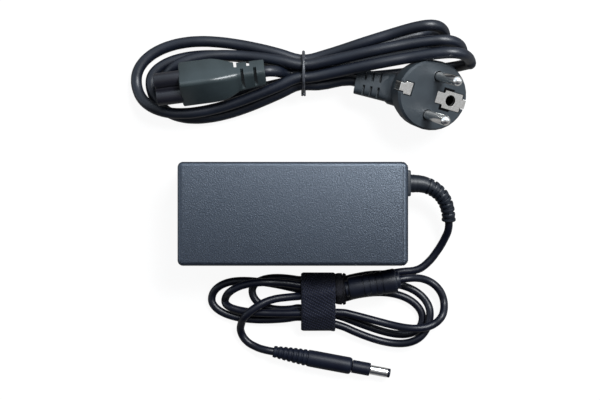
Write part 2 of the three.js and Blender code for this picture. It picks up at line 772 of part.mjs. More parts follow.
// output side
const secondaryLength = 28;
const secondaryRight = boardRight - 4;
const rectifierWidth = 11;
addPiece("secondary_heatsink", "heatsink", heatsink(secondaryRight - secondaryLength, secondaryRight, 1));
standingBox("output_rectifier", "package", [secondaryRight - secondaryLength / 2, packageY],
  [rectifierWidth, packageDepth, packageHeight]);
const outputCanRadius = 4.6;
const outputCanHeight = clearHeight - 2.7;
const outputX = boardRight - outputCanRadius - 0.9;
[-15, -4.5].forEach((y, i) => {
  const can = rod(outputCanRadius, outputCanHeight, "z", 16);
  addPiece(`output_capacitor_${i + 1}`, "capacitor", can).position.set(outputX, y, partBase);
});
const outputChokeRadius = 3.4;
const outputChokeWire = 1.7;
addPiece("output_choke", "winding", new THREE.TorusGeometry(outputChokeRadius, outputChokeWire, 8, 16))
  .position.set(outputX, 6.5, partBase + outputChokeWire);
const optoLength = 5;
standingBox("optocoupler", "package", [coreX - coreWidth / 2 - optoLength / 2 + 1, -boardEdge + 3],
  [optoLength, 6.5, 3.5]);

// ---------- output strain relief ----------
// Centre line of the boot: straight out of the case, then round to the right and down towards the surface.
const outletX = halfLength + gap;
const bootPath = new THREE.CatmullRomCurve3([
  V(outletX + outletFlangeThickness - 0.5, outletY, seamHeight),
  V(62.2, 14.1, 14.8),
  V(67.4, 12.2, 14.1),
  V(71.8, 8.6, 13),
  V(74.4, 4, 11.6),
  V(75.6, -1.2, 10.2),
  V(75.7, -3.6, 9.5),
], false, "centripetal");

function outputBoot() {
  const smoothShare = 0.34; // of its length, before the ribs
  const stations = [];
  for (let i = 0; i <= 3; i++) {
    stations.push({ t: (i / 3) * smoothShare, dip: 0 });
  }
  const ribShare = (1 - smoothShare) / bootRibs;
  for (let i = 0; i < bootRibs; i++) {
    const start = smoothShare + i * ribShare;
    stations.push({ t: start + ribShare * 0.12, dip: bootRibDepth });
    stations.push({ t: start + ribShare * 0.42, dip: bootRibDepth });
    stations.push({ t: start + ribShare * 0.54, dip: 0 });
    stations.push({ t: start + ribShare * 0.98, dip: 0 });
  }
  const centres = stations.map(({ t }) => bootPath.getPointAt(t));
  const rings = pathFrames(centres).map((frame, i) => {
    const radius = lerp(bootRadius, bootEndRadius, stations[i].t ** 0.8) - stations[i].dip;
    return ringAt(frame, radius, 12);
  });
  return skin(rings);
}

function outputRelief() {
  const centred = (size, x0, x1) =>
    alongX(roundedShape(size, size, 1.2), x0, x1 - x0, 2).translate(0, outletY, seamHeight);
  const flange = centred(outletFlange, outletX, outletX + outletFlangeThickness);
  const neck = centred(outletNeck, halfLength - caseWall - gap - 1, outletX + 0.5);
  const anchor = centred(outletFlange, halfLength - caseWall - gap - 1.5, halfLength - caseWall - gap);
  return join(flange, neck, anchor, outputBoot());
}
addPiece("output_strain_relief", "moulding", outputRelief());

// ---------- output lead ----------
const bootEnd = bootPath.getPointAt(1);
const bootAlong = bootPath.getTangentAt(1);
const dcRoute = dcHankRoute();
const dcStart = dcRoute[0];
const dcStartAlong = dcRoute[1].clone().sub(dcRoute[0]).normalize();
const dcEnd = dcRoute[dcRoute.length - 1];
const dcEndAlong = dcEnd.clone().sub(dcRoute[dcRoute.length - 2]).normalize();

const cordStep = 2.5; // steps of a free stretch, in cord diameters
addPiece("dc_cord_lead", "cord", freeCord([
  bootEnd.clone().addScaledVector(bootAlong, gap),
  bootEnd.clone().addScaledVector(bootAlong, 4),
  V(74.3, -12.2, 5.4),
  V(70.6, -19, 2.6),
  V(66, -24.6, dcLow),
  dcStart.clone().addScaledVector(dcStartAlong, -4),
  dcStart.clone().addScaledVector(dcStartAlong, -gap),
], dcCordRadius, cordStep * dcCordRadius * 2));
addPiece("dc_cord_hank", "cord", wound(dcRoute, dcCordRadius, 6));

// plug axis: it lies on the surface, turned a little to the right
const plugTurn = THREE.MathUtils.degToRad(-10.6);
const dcPlugStart = V(-9.6, -67.7, gripEndRadius + 0.1);
const dcPlugAlong = V(Math.cos(plugTurn), Math.sin(plugTurn), 0);
addPiece("dc_cord_tail", "cord", freeCord([
  dcEnd.clone().addScaledVector(dcEndAlong, gap),
  dcEnd.clone().addScaledVector(dcEndAlong, 4),
  V(-11, -42.2, 9.6),
  V(-18, -45.6, 10.9),
  V(-22.6, -49.4, 10.6),
  V(-25.2, -54, 6),
  V(-25.4, -58.6, 2.6),
  V(-22.8, -62.8, dcLow),
  V(-18.2, -65.6, 2.6),
  dcPlugStart.clone().addScaledVector(dcPlugAlong, -4),
  dcPlugStart.clone().addScaledVector(dcPlugAlong, -gap),
], dcCordRadius, cordStep * dcCordRadius * 2));

// ferrite and its moulded cover, both bored for the cord
const ferriteGroup = new THREE.Group();
ferriteGroup.position.copy(ferriteStart);
const ferriteAlong = ferriteEnd.clone().sub(ferriteStart).normalize();
ferriteGroup.quaternion.setFromUnitVectors(V(1, 0, 0), ferriteAlong);
model.add(ferriteGroup);

function ferriteCover() {
  const bore = dcCordRadius + gap;
  const bodyStart = ferriteCollarLength;
  const bodyEnd = ferriteLength - ferriteCollarLength;
  const radiusAt = (x) =>
    lerp(ferriteSmallRadius, ferriteLargeRadius, (x - bodyStart) / (bodyEnd - bodyStart));
  const outline = [[0, bore], [0, ferriteCollarRadius], [bodyStart, ferriteCollarRadius],
    [bodyStart, ferriteSmallRadius - 0.8], [bodyStart + 0.8, ferriteSmallRadius]];
  const ringPitch = 3.1;
  const firstRing = ferriteLength / 2 - ((ferriteRings - 1) * ringPitch) / 2;
  for (let i = 0; i < ferriteRings; i++) {
    const x = firstRing + i * ringPitch;
    outline.push([x - 0.5, radiusAt(x)], [x - 0.3, radiusAt(x) - ferriteRingDepth],
      [x + 0.3, radiusAt(x) - ferriteRingDepth], [x + 0.5, radiusAt(x)]);
  }
  outline.push([bodyEnd - 0.8, ferriteLargeRadius], [bodyEnd, ferriteLargeRadius - 0.8],
    [bodyEnd, ferriteCollarRadius + 0.5], [ferriteLength, ferriteCollarRadius + 0.2], [ferriteLength, bore]);
  const pocketStart = (ferriteLength - ferriteCoreLength) / 2 - gap;
  const pocketEnd = ferriteLength - pocketStart;
  const pocketRadius = ferriteCoreRadius + gap;
  outline.push([pocketEnd, bore], [pocketEnd, pocketRadius], [pocketStart, pocketRadius],
    [pocketStart, bore], [0, bore]);
  return turned(outline, 16);
}
const ferriteShift = -1.4; // its place along the cord
addPiece("ferrite_cover", "moulding", ferriteCover(), ferriteGroup).position.x = ferriteShift;
const ferriteSleeve = sleeve(ferriteCoreRadius, dcCordRadius + 0.6, ferriteCoreLength, 16);
addPiece("ferrite_core", "ferrite", ferriteSleeve, ferriteGroup)
  .position.x = ferriteShift + (ferriteLength - ferriteCoreLength) / 2;

// hook and loop strap round the whole bundle, and its anchor loop round the upper strands
const strapSlack = V(0, -54, 4.2); // where the strap hangs a little wide of the strands

// Strands at x, read between the waist's edges.
function strandsAt(names, x) {
  return names.map((name) => {
    const [right, middle, left] = dcStrand(name);
    const [from, to] = x > dcMiddle ? [middle, right] : [left, middle];
    return from.clone().lerp(to, (x - from.x) / (to.x - from.x));
  });
}

// Outline across x drawn tight round centres, as the farthest point in each direction.
function tightRing(centres, x, reach) {
  const count = 22;
  return Array.from({ length: count }, (_, i) => {
    const angle = (2 * Math.PI * i) / count;
    const out = V(0, Math.cos(angle), Math.sin(angle));
    const farthest = centres.reduce((best, centre) => (centre.dot(out) > best.dot(out) ? centre : best));
    return farthest.clone().setX(x).addScaledVector(out, reach);
  });
}

function band(x0, x1, names, slack, thickness) {
  const inner = dcCordRadius + strapEase;
  const rings = (reach, grow) => [x0 - grow, (x0 + x1) / 2, x1 + grow].map((x) => {
    const place = Math.min(Math.max(x, x0), x1);
    return tightRing([...strandsAt(names, place), ...slack], x, reach);
  });
  return cut(skin(rings(inner + thickness, 0)), skin(rings(inner, 1)));
}
const strapStart = strapCentreX - strapWidth / 2;
const strapEnd = strapStart + strapWidth;
const upperStrands = ["first", "second", "third", "ferrite"];
addPiece("cord_strap", "weave",
  band(strapStart, strapEnd, Object.keys(dcStrands), [strapSlack], strapThickness));
addPiece("strap_anchor_loop", "weave",
  band(strapEnd + gap, strapEnd + gap + anchorWidth, upperStrands, [], anchorThickness));

// ---------- output plug ----------
const dcPlug = new THREE.Group();
dcPlug.position.copy(dcPlugStart);
dcPlug.rotation.z = plugTurn;
model.add(dcPlug);

function gripRadiusAt(x) {
  return lerp(gripStartRadius, gripEndRadius, Math.sin((Math.min(x / gripTaper, 1) * Math.PI) / 2));
}
function plugGrip() {
  const edge = 0.4;
  const pitch = gripRibbed / gripRibs;
  const profile = [[0, 0], [0, gripStartRadius - edge], [edge, gripRadiusAt(edge)]];
  for (let i = 0; i < gripRibs; i++) {
    const [top, in1, in2, out] = [0.5, 0.56, 0.88, 0.94].map((share) => edge + (i + share) * pitch);
    profile.push([top, gripRadiusAt(top)], [in1, gripRadiusAt(in1) - gripRibDepth],
      [in2, gripRadiusAt(in2) - gripRibDepth], [out, gripRadiusAt(out)]);
  }
  profile.push([gripTaper, gripEndRadius], [gripLength - 1.6, gripEndRadius],
    [gripLength - 0.5, gripEndRadius - 0.35], [gripLength, gripEndRadius - 1.1], [gripLength, 0]);
  return turned(profile, 16);
}
const barrelFloor = 1;
const barrelFloorTop = barrelFloor + 0.2;
const collarStart = gripLength + gap;
const barrelStart = collarStart + collarLength + gap;
const tipStart = barrelStart + barrelLength + 0.1;
const pinBase = barrelStart + barrelFloorTop;
addPiece("dc_plug_grip", "moulding", plugGrip(), dcPlug);
const collarEdge = 0.5;
const collar = turned([[0, 0], [0, collarRadius], [collarLength - collarEdge, collarRadius],
  [collarLength, collarRadius - collarEdge], [collarLength, 0]], 16);
const barrel = turned([[0, 0], [0, barrelRadius], [barrelLength, barrelRadius],
  [barrelLength, barrelBoreRadius], [barrelFloor, barrelBoreRadius], [barrelFloor, 0]], 20);
const tipInsulator = sleeve(barrelRadius - 0.1, barrelBoreRadius, tipLength, 20);
const centrePin = rod(centrePinRadius, barrelLength - 1.6, "x", 8);
addPiece("dc_plug_collar", "moulding", collar, dcPlug).position.x = collarStart;
addPiece("dc_plug_barrel", "chrome", barrel, dcPlug).position.x = barrelStart;
addPiece("dc_plug_tip_insulator", "moulding", tipInsulator, dcPlug).position.x = tipStart;
addPiece("dc_plug_centre_pin", "brass", centrePin, dcPlug).position.x = pinBase;

// ---------- mains lead ----------
const mainsRoute = mainsHankRoute();
const mainsStart = mainsRoute[0];
const mainsStartAlong = mainsRoute[1].clone().sub(mainsRoute[0]).normalize();
const mainsEnd = mainsRoute[mainsRoute.length - 1];
const mainsLead = new THREE.Group();
model.add(mainsLead);
addPiece("mains_cord_hank", "cord", wound(mainsRoute, mainsCordRadius, 6), mainsLead);

// cloverleaf connector, rolled on its axis inside the left loops
const connectorTurn = THREE.MathUtils.degToRad(7.4);
const connectorRoll = THREE.MathUtils.degToRad(-40);
const connector = new THREE.Group();
connector.position.set(-65.5, 60.3, 17.6);
connector.rotation.set(connectorRoll, 0, connectorTurn, "ZYX");
mainsLead.add(connector);

function connectorNose() {
  const nose = alongX(cloverShape(0), 0, noseLength + noseRoot);
  const holes = contactPlaces.map(({ y, z }) =>
    rod(contactRadius + gap, noseLength - 0.2, "x", 12).translate(-1, y, z));
  return cut(nose, ...holes);
}

// Rounded-rectangle ring across the X axis, with the same point count at every station.
function sectionRing(x, width, height, round, rise = 0) {
  const points = roundedShape(width, height, round).getPoints(2);
  const ring = points.filter((p, i) => i === 0 || p.distanceTo(points[i - 1]) > 1e-6);
  if (ring[0].distanceTo(ring[ring.length - 1]) < 1e-6) {
    ring.pop();
  }
  return ring.map((p) => V(x, p.x, p.y + rise));
}

function connectorBody() {
  const start = noseLength;
  const end = start + bodyLength;
  const reliefEnd = end + reliefLength;
  const rings = [
    sectionRing(start, bodyWidth - 1, bodyHeight - 1, bodyRound),
    sectionRing(start + 0.6, bodyWidth, bodyHeight, bodyRound),
    sectionRing(start + bodyLength * 0.5, bodyWidth, bodyHeight, bodyRound),
    sectionRing(start + bodyLength * 0.78, bodyWidth * 0.88, bodyHeight * 0.85, bodyRound, reliefRise * 0.6),
    sectionRing(end, reliefWidth + 1.4, reliefHeight + 1.4, bodyRound, reliefRise),
    sectionRing(reliefEnd - 0.5, reliefWidth - 1, reliefHeight - 1, bodyRound, reliefRise),
    sectionRing(reliefEnd, reliefWidth - 2, reliefHeight - 2, bodyRound * 0.8, reliefRise),
  ];
  const slotPitch = reliefLength / 2.15;
  const slots = [];
  for (let i = 0; i < 4; i++) {
    const x = end - 1.4 + (i * slotPitch) / 2;
    const high = i % 2 === 0;
    for (const face of [-1, 1]) {
      const y0 = high ? 0.9 : -reliefWidth / 2 + 1.2;
      const z0 = reliefRise + (face * reliefHeight) / 2 - 2;
      slots.push(box(x, x + reliefSlot, y0, y0 + 3.9, z0, z0 + 4));
    }
  }
  const pocket = alongX(cloverShape(gap), start - 1, noseRoot + gap + 1);
  return cut(skin(rings), pocket, ...slots);
}
addPiece("mains_connector_nose", "moulding", connectorNose(), connector);
addPiece("mains_connector_body", "moulding", connectorBody(), connector);
for (const { name, y, z } of contactPlaces) {
  const contact = sleeve(contactRadius, contactBoreRadius, contactLength, 10);
  addPiece(`connector_contact_${name}`, "brass", contact, connector).position.set(contactInset, y, z);
}

connector.updateMatrixWorld(true);
const connectorExit = connector.localToWorld(V(noseLength + bodyLength + reliefLength, 0, reliefRise));
const connectorAlong = V(Math.cos(connectorTurn), Math.sin(connectorTurn), 0);
addPiece("mains_cord_connector_end", "cord", freeCord([
  connectorExit.clone().addScaledVector(connectorAlong, gap),
  connectorExit.clone().addScaledVector(connectorAlong, 2.2),
  mainsStart.clone().addScaledVector(mainsStartAlong, -1.8),
  mainsStart.clone().addScaledVector(mainsStartAlong, -2 * gap),
], mainsCordRadius, mainsCordRadius), mainsLead);

// twist tie: a wire round the six outer strands, twisted off below them
function tiePath() {
  const reach = mainsCordRadius + gap + tieRadius;
  const points = [];
  for (let sixth = 0; sixth < 6; sixth++) {
    for (const turn of [-25, 0, 25]) {
      const angle = ((sixth * 60 + turn) * Math.PI) / 180;
      const strand = mainsStrand(sixth).middle;
      points.push(strand.add(V(0, reach * Math.cos(angle), reach * Math.sin(angle))));
    }
  }
  return points;
}
const tieEndY = mainsBundle.y - mainsPitch - mainsCordRadius - gap - tieRadius;
const tieEnd = rod(1.1, tieTail, "y", 8).rotateX(Math.PI).translate(tieX, tieEndY, mainsBundle.z);
addPiece("twist_tie", "wire", join(wound(tiePath(), tieRadius, 8, true), tieEnd), mainsLead);

// ---------- mains plug ----------
const plugTurnZ = THREE.MathUtils.degToRad(-13.5);
const plugTilt = THREE.MathUtils.degToRad(26);
const plugRoll = THREE.MathUtils.degToRad(6.5);
const plugFace = new THREE.Group(); // the face centre, turned and tilted
plugFace.position.set(67, 56.1, 22);
plugFace.rotation.set(0, plugTilt, plugTurnZ, "ZYX");
mainsLead.add(plugFace);
const plugHead = new THREE.Group();
plugHead.rotation.x = plugRoll;
plugFace.add(plugHead);

const reliefStart = V(-6, 0, -13);
const reliefAngle = THREE.MathUtils.degToRad(plugReliefTilt);
const reliefDirection = V(-Math.cos(reliefAngle), 0, -Math.sin(reliefAngle))
  .applyAxisAngle(V(0, 0, 1), THREE.MathUtils.degToRad(plugReliefYaw));

function plugRelief() {
  const across = V(0, 0, 1).cross(reliefDirection).normalize();
  const frame = new THREE.Matrix4().makeBasis(reliefDirection, across, reliefDirection.clone().cross(across));
  frame.setPosition(reliefStart);
  const rings = [
    sectionRing(0, plugReliefWidth + 4, plugReliefHeight + 3, 3),
    sectionRing(plugReliefLength * 0.36, plugReliefWidth + 2, plugReliefHeight + 1.5, 3),
    sectionRing(plugReliefLength * 0.41, plugReliefWidth + 0.4, plugReliefHeight, 2.5),
    sectionRing(plugReliefLength, plugReliefWidth - 1.2, plugReliefHeight - 1, 2.5),
  ];
  const slots = [];
  for (let i = 0; i < 3; i++) {
    const x = plugReliefLength - 4.5 - i * 3.6;
    for (const side of [-1, 1]) {
      for (const face of [-1, 1]) {
        const y = side * (plugReliefWidth / 4 + 0.6);
        const z = (face * plugReliefHeight) / 2;
        slots.push(box(x - 0.55, x + 0.55, y - 2.6, y + 2.6, z - 2, z + 2));
      }
    }
  }
  return cut(skin(rings), ...slots).applyMatrix4(frame);
}

const sleeveBottom = -earthSleeveDepth - clipThickness - 2 * gap; // its top is just below the plate
const rimEdge = plugFaceRadius - 1.2; // inner face of a clip's side leaf

// One earth clip, grown by extra all round. Above 0 it is its seat in the body, open to the face.
function clipOutline(side, extra, above = 0) {
  const top = above || -gap;
  const bottom = -gap - clipThickness - extra;
  const rimEnd = rimEdge + clipThickness + extra + above * 3;
  const flat = (x0, x1, width) =>
    box(x0 - extra, x1 + extra, -width / 2 - extra, width / 2 + extra, bottom, top);
  const tongueHalf = clipTongueWidth / 2 + extra;
  const tongueStart = rimEdge + clipThickness - clipTongueLength;
  const leaves = [
    box(tongueStart - 0.5, rimEnd, -tongueHalf, tongueHalf, bottom, top),
    box(rimEdge - extra, rimEnd, -tongueHalf, tongueHalf, -clipDepth - extra, top),
  ];
  if (side === "left") {
    return join(flat(tongueStart - clipLength, tongueStart, clipWidth), ...leaves).rotateZ(Math.PI);
  }
  const plate = flat(earthPlateEdge, tongueStart, earthPlateWidth);
  return join(plate, flat(earthPlateEdge - earthTabLength, earthPlateEdge, earthTabWidth), ...leaves);
}

function plugBody() {
  const rim = 1;
  const profile = [[0, 0], [0, plugFaceRadius - rim], [-rim, plugFaceRadius],
    [-plugDepth * 0.45, plugFaceRadius - 0.3], [-plugDepth * 0.8, plugBackRadius + 1.6],
    [-plugDepth, plugBackRadius - 1.4], [-plugDepth, 0]];
  const disc = turned(profile.reverse(), 32).rotateY(-Math.PI / 2)
    .scale(1, plugSideRadius / plugFaceRadius, 1);
  const pinHoles = [-1, 1].map((side) =>
    rod(pinRadius + gap, pinRoot + 1, "z", 16).translate(0, (side * pinSpacing) / 2, -pinRoot - gap));
  const socketHole = rod(earthSleeveRadius + gap, earthSleeveDepth + 4, "z", 16)
    .translate(earthSocketOffset, 0, sleeveBottom - gap);
  const clipSeats = [clipOutline("left", gap, 1), clipOutline("right", gap, 1)];
  const bodyShape = cut(disc, ...pinHoles, socketHole, ...clipSeats).rotateX(plugRoll);
  return join(bodyShape, cut(plugRelief(), box(-20, 40, -30, 30, -9, 30)));
}
addPiece("mains_plug_body", "moulding", plugBody(), plugFace);

const pinTip = 1.9;
const pinProfile = [[0, 0], [0, pinRadius], [pinRoot + pinLength - pinTip, pinRadius],
  [pinRoot + pinLength - pinTip * 0.45, pinRadius * 0.8], [pinRoot + pinLength, pinRadius * 0.35],
  [pinRoot + pinLength, 0]];
["line", "neutral"].forEach((name, i) => {
  const pin = turned(pinProfile, 16).rotateY(-Math.PI / 2);
  addPiece(`mains_plug_pin_${name}`, "chrome", pin, plugHead)
    .position.set(0, (i - 0.5) * pinSpacing, -pinRoot);
});

// earth: a sleeve in the face and two clips bent over its edges
addPiece("earth_socket", "chrome",
  sleeve(earthSleeveRadius, earthSocketRadius, earthSleeveDepth, 16).rotateY(-Math.PI / 2), plugHead)
  .position.set(earthSocketOffset, 0, sleeveBottom);
const earthHole = rod(earthSocketRadius + gap, 8, "z", 16).translate(earthSocketOffset, 0, -4);
addPiece("earth_clip_left", "chrome", clipOutline("left", 0), plugHead);
addPiece("earth_clip_right", "chrome", cut(clipOutline("right", 0), earthHole), plugHead);

plugFace.updateMatrixWorld(true);
const reliefEndLocal = reliefStart.clone().addScaledVector(reliefDirection, plugReliefLength);
const plugExit = plugFace.localToWorld(reliefEndLocal.clone());
const plugBeyond = plugFace.localToWorld(reliefEndLocal.clone().add(reliefDirection));
const plugExitAlong = plugBeyond.sub(plugExit).normalize();
addPiece("mains_cord_plug_end", "cord", freeCord([
  mainsEnd.clone().add(V(gap, 0, 0)),
  mainsEnd.clone().add(V(2.5, 0, -0.2)),
  plugExit.clone().addScaledVector(plugExitAlong, 3),
  plugExit.clone().addScaledVector(plugExitAlong, gap),
], mainsCordRadius, mainsCordRadius * 1.6), mainsLead);

console.log(`least gap of the output hank to itself: ${leastGap(dcRoute, dcCordRadius).toFixed(2)} mm`);
console.log(`least gap of the mains hank to itself: ${leastGap(mainsRoute, mainsCordRadius).toFixed(2)} mm`);

export default model;
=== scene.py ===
# Laptop power adapter with its two leads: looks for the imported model.
import math

import bmesh
import bpy
from mathutils import Matrix, Vector


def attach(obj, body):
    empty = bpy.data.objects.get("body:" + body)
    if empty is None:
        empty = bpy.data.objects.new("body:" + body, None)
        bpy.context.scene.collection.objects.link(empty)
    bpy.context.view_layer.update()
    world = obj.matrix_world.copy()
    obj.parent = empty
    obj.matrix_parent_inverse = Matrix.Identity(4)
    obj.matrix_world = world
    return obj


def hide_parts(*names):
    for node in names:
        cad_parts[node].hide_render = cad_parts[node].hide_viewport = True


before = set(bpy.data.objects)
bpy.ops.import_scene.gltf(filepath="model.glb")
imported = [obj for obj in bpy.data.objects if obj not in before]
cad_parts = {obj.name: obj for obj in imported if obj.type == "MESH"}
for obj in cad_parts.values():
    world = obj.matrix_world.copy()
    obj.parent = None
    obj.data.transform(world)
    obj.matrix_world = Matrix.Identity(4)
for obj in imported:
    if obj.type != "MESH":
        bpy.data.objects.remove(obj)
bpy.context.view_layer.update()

mm = 0.001
turn = 2 * math.pi


def addObject(name, data):
    piece = bpy.data.objects.new(name, data)
    bpy.context.scene.collection.objects.link(piece)
    return piece


# The camera hangs straight over the set and looks down. Distances in metres.
cameraSetup = {"over": (0.0035, 0.0065), "height": 0.62, "lens": 75.4, "sensor": 36}

cameraData = bpy.data.cameras.new("overheadCamera")
cameraData.lens = cameraSetup["lens"]
cameraData.sensor_width = cameraSetup["sensor"]
camera = addObject("overheadCamera", cameraData)
camera.location = (*cameraSetup["over"], cameraSetup["height"])
bpy.context.scene.camera = camera


def lerp(a, b, t):
    return a + (b - a) * t


def ease(t):
    return (1 - math.cos(math.pi * t)) / 2


def level(values, t):
    # value between evenly spaced levels, eased from each to the next
    place = t * (len(values) - 1)
    i = min(int(place), len(values) - 2)
    return lerp(values[i], values[i + 1], ease(place - i))


def endLoop(start, end, reach, lean, bulge, heights, steps=24):
    # one end loop of a hank, from the waist round the tip and back
    middle = (start[0] + end[0]) / 2
    levels = [start[2], *heights, end[2]]
    points = []
    for i in range(steps + 1):
        t = i / steps
        out = math.sin(math.pi * t)
        swell = math.sin(turn * t) * (bulge[0] if t < 0.5 else -bulge[1])
        x = lerp(start[0], end[0], ease(t)) + (reach - middle) * out
        y = lerp(start[1], end[1], ease(t)) + lean * out * out + swell
        points.append(Vector((x, y, level(levels, t))))
    return points


def hankTurns(strands, edge, loops):
    # from strand to strand, turning back at either edge of the waist by turns, with the middle of each
    points = []
    for start, end, loop in zip(strands, strands[1:], loops):
        points += [*endLoop(start[edge], end[edge], *loop), end[1]]
        edge = 2 - edge
    return points


def smoothPath(points, spacing):
    # centripetal spline through points, sampled every spacing or so
    points = [Vector(p) for p in points]
    ends = [2 * points[0] - points[1], *points, 2 * points[-1] - points[-2]]
    path = []
    for p0, p1, p2, p3 in zip(ends, ends[1:], ends[2:], ends[3:]):
        knots = [0.0]
        for a, b in ((p0, p1), (p1, p2), (p2, p3)):
            knots.append(knots[-1] + math.sqrt((b - a).length))
        t0, t1, t2, t3 = knots
        count = max(1, round((p2 - p1).length / spacing))
        for k in range(count):
            t = lerp(t1, t2, k / count)
            a1 = p0.lerp(p1, (t - t0) / (t1 - t0))
            a2 = p1.lerp(p2, (t - t1) / (t2 - t1))
            a3 = p2.lerp(p3, (t - t2) / (t3 - t2))
            b1 = a1.lerp(a2, (t - t0) / (t2 - t0))
            b2 = a2.lerp(a3, (t - t1) / (t3 - t1))
            path.append(b1.lerp(b2, (t - t1) / (t2 - t1)))
    path.append(points[-1])
    return path


def pathLength(points):
    return sum((b - a).length for a, b in zip(points, points[1:]))


def startTube(name, radius, roundness, smoothness):
    # a curve with a round section, its radius in millimetres
    data = bpy.data.curves.new(name, "CURVE")
    data.dimensions = "3D"
    data.bevel_depth = radius * mm
    data.bevel_resolution = roundness
    data.resolution_u = smoothness
    data.use_fill_caps = True
    return data


def addRun(data, points, closed=False, share=1):
    # one smooth run through points in millimetres, at a share of the tube's radius
    spline = data.splines.new("BEZIER")
    spline.bezier_points.add(len(points) - 1)
    spline.use_cyclic_u = closed
    for knot, point in zip(spline.bezier_points, points):
        knot.co = point * mm
        knot.handle_left_type = knot.handle_right_type = "AUTO"
        knot.radius = share


def claim(piece, body, replaced):
    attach(piece, body)
    if replaced:
        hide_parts(*replaced)
    return piece


def finishTube(data, material, body, replaced):
    data.materials.append(material)
    return claim(addObject(data.name, data), body, replaced)


# Materials. Object coordinates are metres, so a scale of 1000 is one cell a millimetre.
def startMaterial(name, roughness, metallic=0.0, specular=0.45):
    material = bpy.data.materials.new(name)
    material.use_nodes = True
    tree = material.node_tree
    shader = tree.nodes["Principled BSDF"]
    shader.inputs["Roughness"].default_value = roughness
    shader.inputs["Metallic"].default_value = metallic
    shader.inputs["Specular IOR Level"].default_value = specular
    return material, tree, shader


def addNode(tree, kind, inputs, output=0):
    # a shader node with its inputs set, or linked where the value is a socket; returns one of its outputs
    node = tree.nodes.new("ShaderNode" + kind)
    for name, value in inputs.items():
        if isinstance(value, bpy.types.NodeSocket):
            tree.links.new(value, node.inputs[name])
        else:
            node.inputs[name].default_value = value
    return node.outputs[output]


def addNoise(tree, scale, detail, roughness, stretch=(1, 1, 1)):
    place = addNode(tree, "TexCoord", {}, "Object")
    place = addNode(tree, "Mapping", {"Vector": place, "Scale": stretch})
    return addNode(tree, "TexNoise", {"Vector": place, "Scale": scale, "Detail": detail,
                                      "Roughness": roughness}, "Fac")


def addMath(tree, operation, first, second):
    value = addNode(tree, "Math", {0: first, 1: second})
    value.node.operation = operation
    return value


def addRamp(tree, value, stops):
    # stops are [position, color]
    color = addNode(tree, "ValToRGB", {"Fac": value}, "Color")
    elements = color.node.color_ramp.elements
    while len(elements) < len(stops):
        elements.new(0.5)
    for element, (position, tone) in zip(elements, stops):
        element.position = position
        element.color = (*tone, 1)
    return color


def paint(tree, shader, value, stops):
    tree.links.new(addRamp(tree, value, stops), shader.inputs["Base Color"])


def addBump(tree, shader, height, distance, strength=1.0):
    normal = addNode(tree, "Bump", {"Height": height, "Distance": distance, "Strength": strength})
    tree.links.new(normal, shader.inputs["Normal"])


def addRoughness(tree, shader, value, low, high):
    spread = addNode(tree, "MapRange", {"Value": value, "To Min": low, "To Max": high})
    tree.links.new(spread, shader.inputs["Roughness"])


# spark-eroded case: slate grey grain whose raised specks are painted lighter, a painted glint where they
# catch the light
caseLook = {"dark": (0.002, 0.003, 0.006), "main": (0.004, 0.006, 0.012), "paintedGlint": (0.016, 0.022, 0.036),
            "grain": 1500, "depth": 0.0003, "relief": 0.55, "rough": (0.46, 0.32), "shine": 0.95,
            "shineTint": (0.75, 0.86, 1.0)}


def makeCaseMaterial():
    material, tree, shader = startMaterial("casePlastic", caseLook["rough"][0], specular=caseLook["shine"])
    shader.inputs["Specular Tint"].default_value = (*caseLook["shineTint"], 1)
    grain = addNoise(tree, caseLook["grain"], 4, 0.65)
    # the grain's own tone, with the top stop a painted glint on the raised specks; the bump adds real glints
    # as well
    stops = [(0.36, caseLook["dark"]), (0.52, caseLook["main"]), (0.68, caseLook["paintedGlint"])]
    paint(tree, shader, grain, stops)
    addRoughness(tree, shader, grain, *caseLook["rough"])
    addBump(tree, shader, grain, caseLook["depth"], caseLook["relief"])
    return material


# moulded parts: a satin surface with a fine etched texture and a slow change of tone
mouldedLook = {"grain": 2400, "clouds": 90, "spread": 0.08, "depth": 0.00003}


def makeMouldedMaterial(name, dark, light, roughness, gloss=0.45):
    material, tree, shader = startMaterial(name, roughness, specular=gloss)
    spread = mouldedLook["spread"]
    fine = addNoise(tree, mouldedLook["grain"], 3, 0.6)
    paint(tree, shader, addNoise(tree, mouldedLook["clouds"], 2, 0.5), [(0.35, dark), (0.65, light)])
    addRoughness(tree, shader, fine, roughness + spread, roughness - spread)
    addBump(tree, shader, fine, mouldedLook["depth"], 0.5)
    return material


# smooth jacket: a satin shine with faint rub marks
jacketLook = {"rub": 420, "clouds": 60, "spread": (-0.06, 0.12), "depth": 0.00004}


def makeCordMaterial(name, dark, light, roughness, gloss):
    material, tree, shader = startMaterial(name, roughness, specular=gloss)
    low, high = jacketLook["spread"]
    paint(tree, shader, addNoise(tree, jacketLook["clouds"], 2, 0.5), [(0.35, dark), (0.65, light)])
    rub = addNoise(tree, jacketLook["rub"], 4, 0.7)
    addRoughness(tree, shader, rub, roughness + low, roughness + high)
    addBump(tree, shader, rub, jacketLook["depth"], 0.25)
    return material


# woven band: twill along the band's own UV map, in metres, with painted shade in the gaps between the yarns
weaveLook = {"paintedGapShade": (0.0025, 0.003, 0.007), "yarnColor": (0.006, 0.008, 0.021), "pitch": 0.0014,
             "bands": 3.1, "slants": ((0.62, 1.0), (-1.1, 1.25)), "fuzz": 2600, "fuzzShare": 0.35,
             "depth": 0.0003}


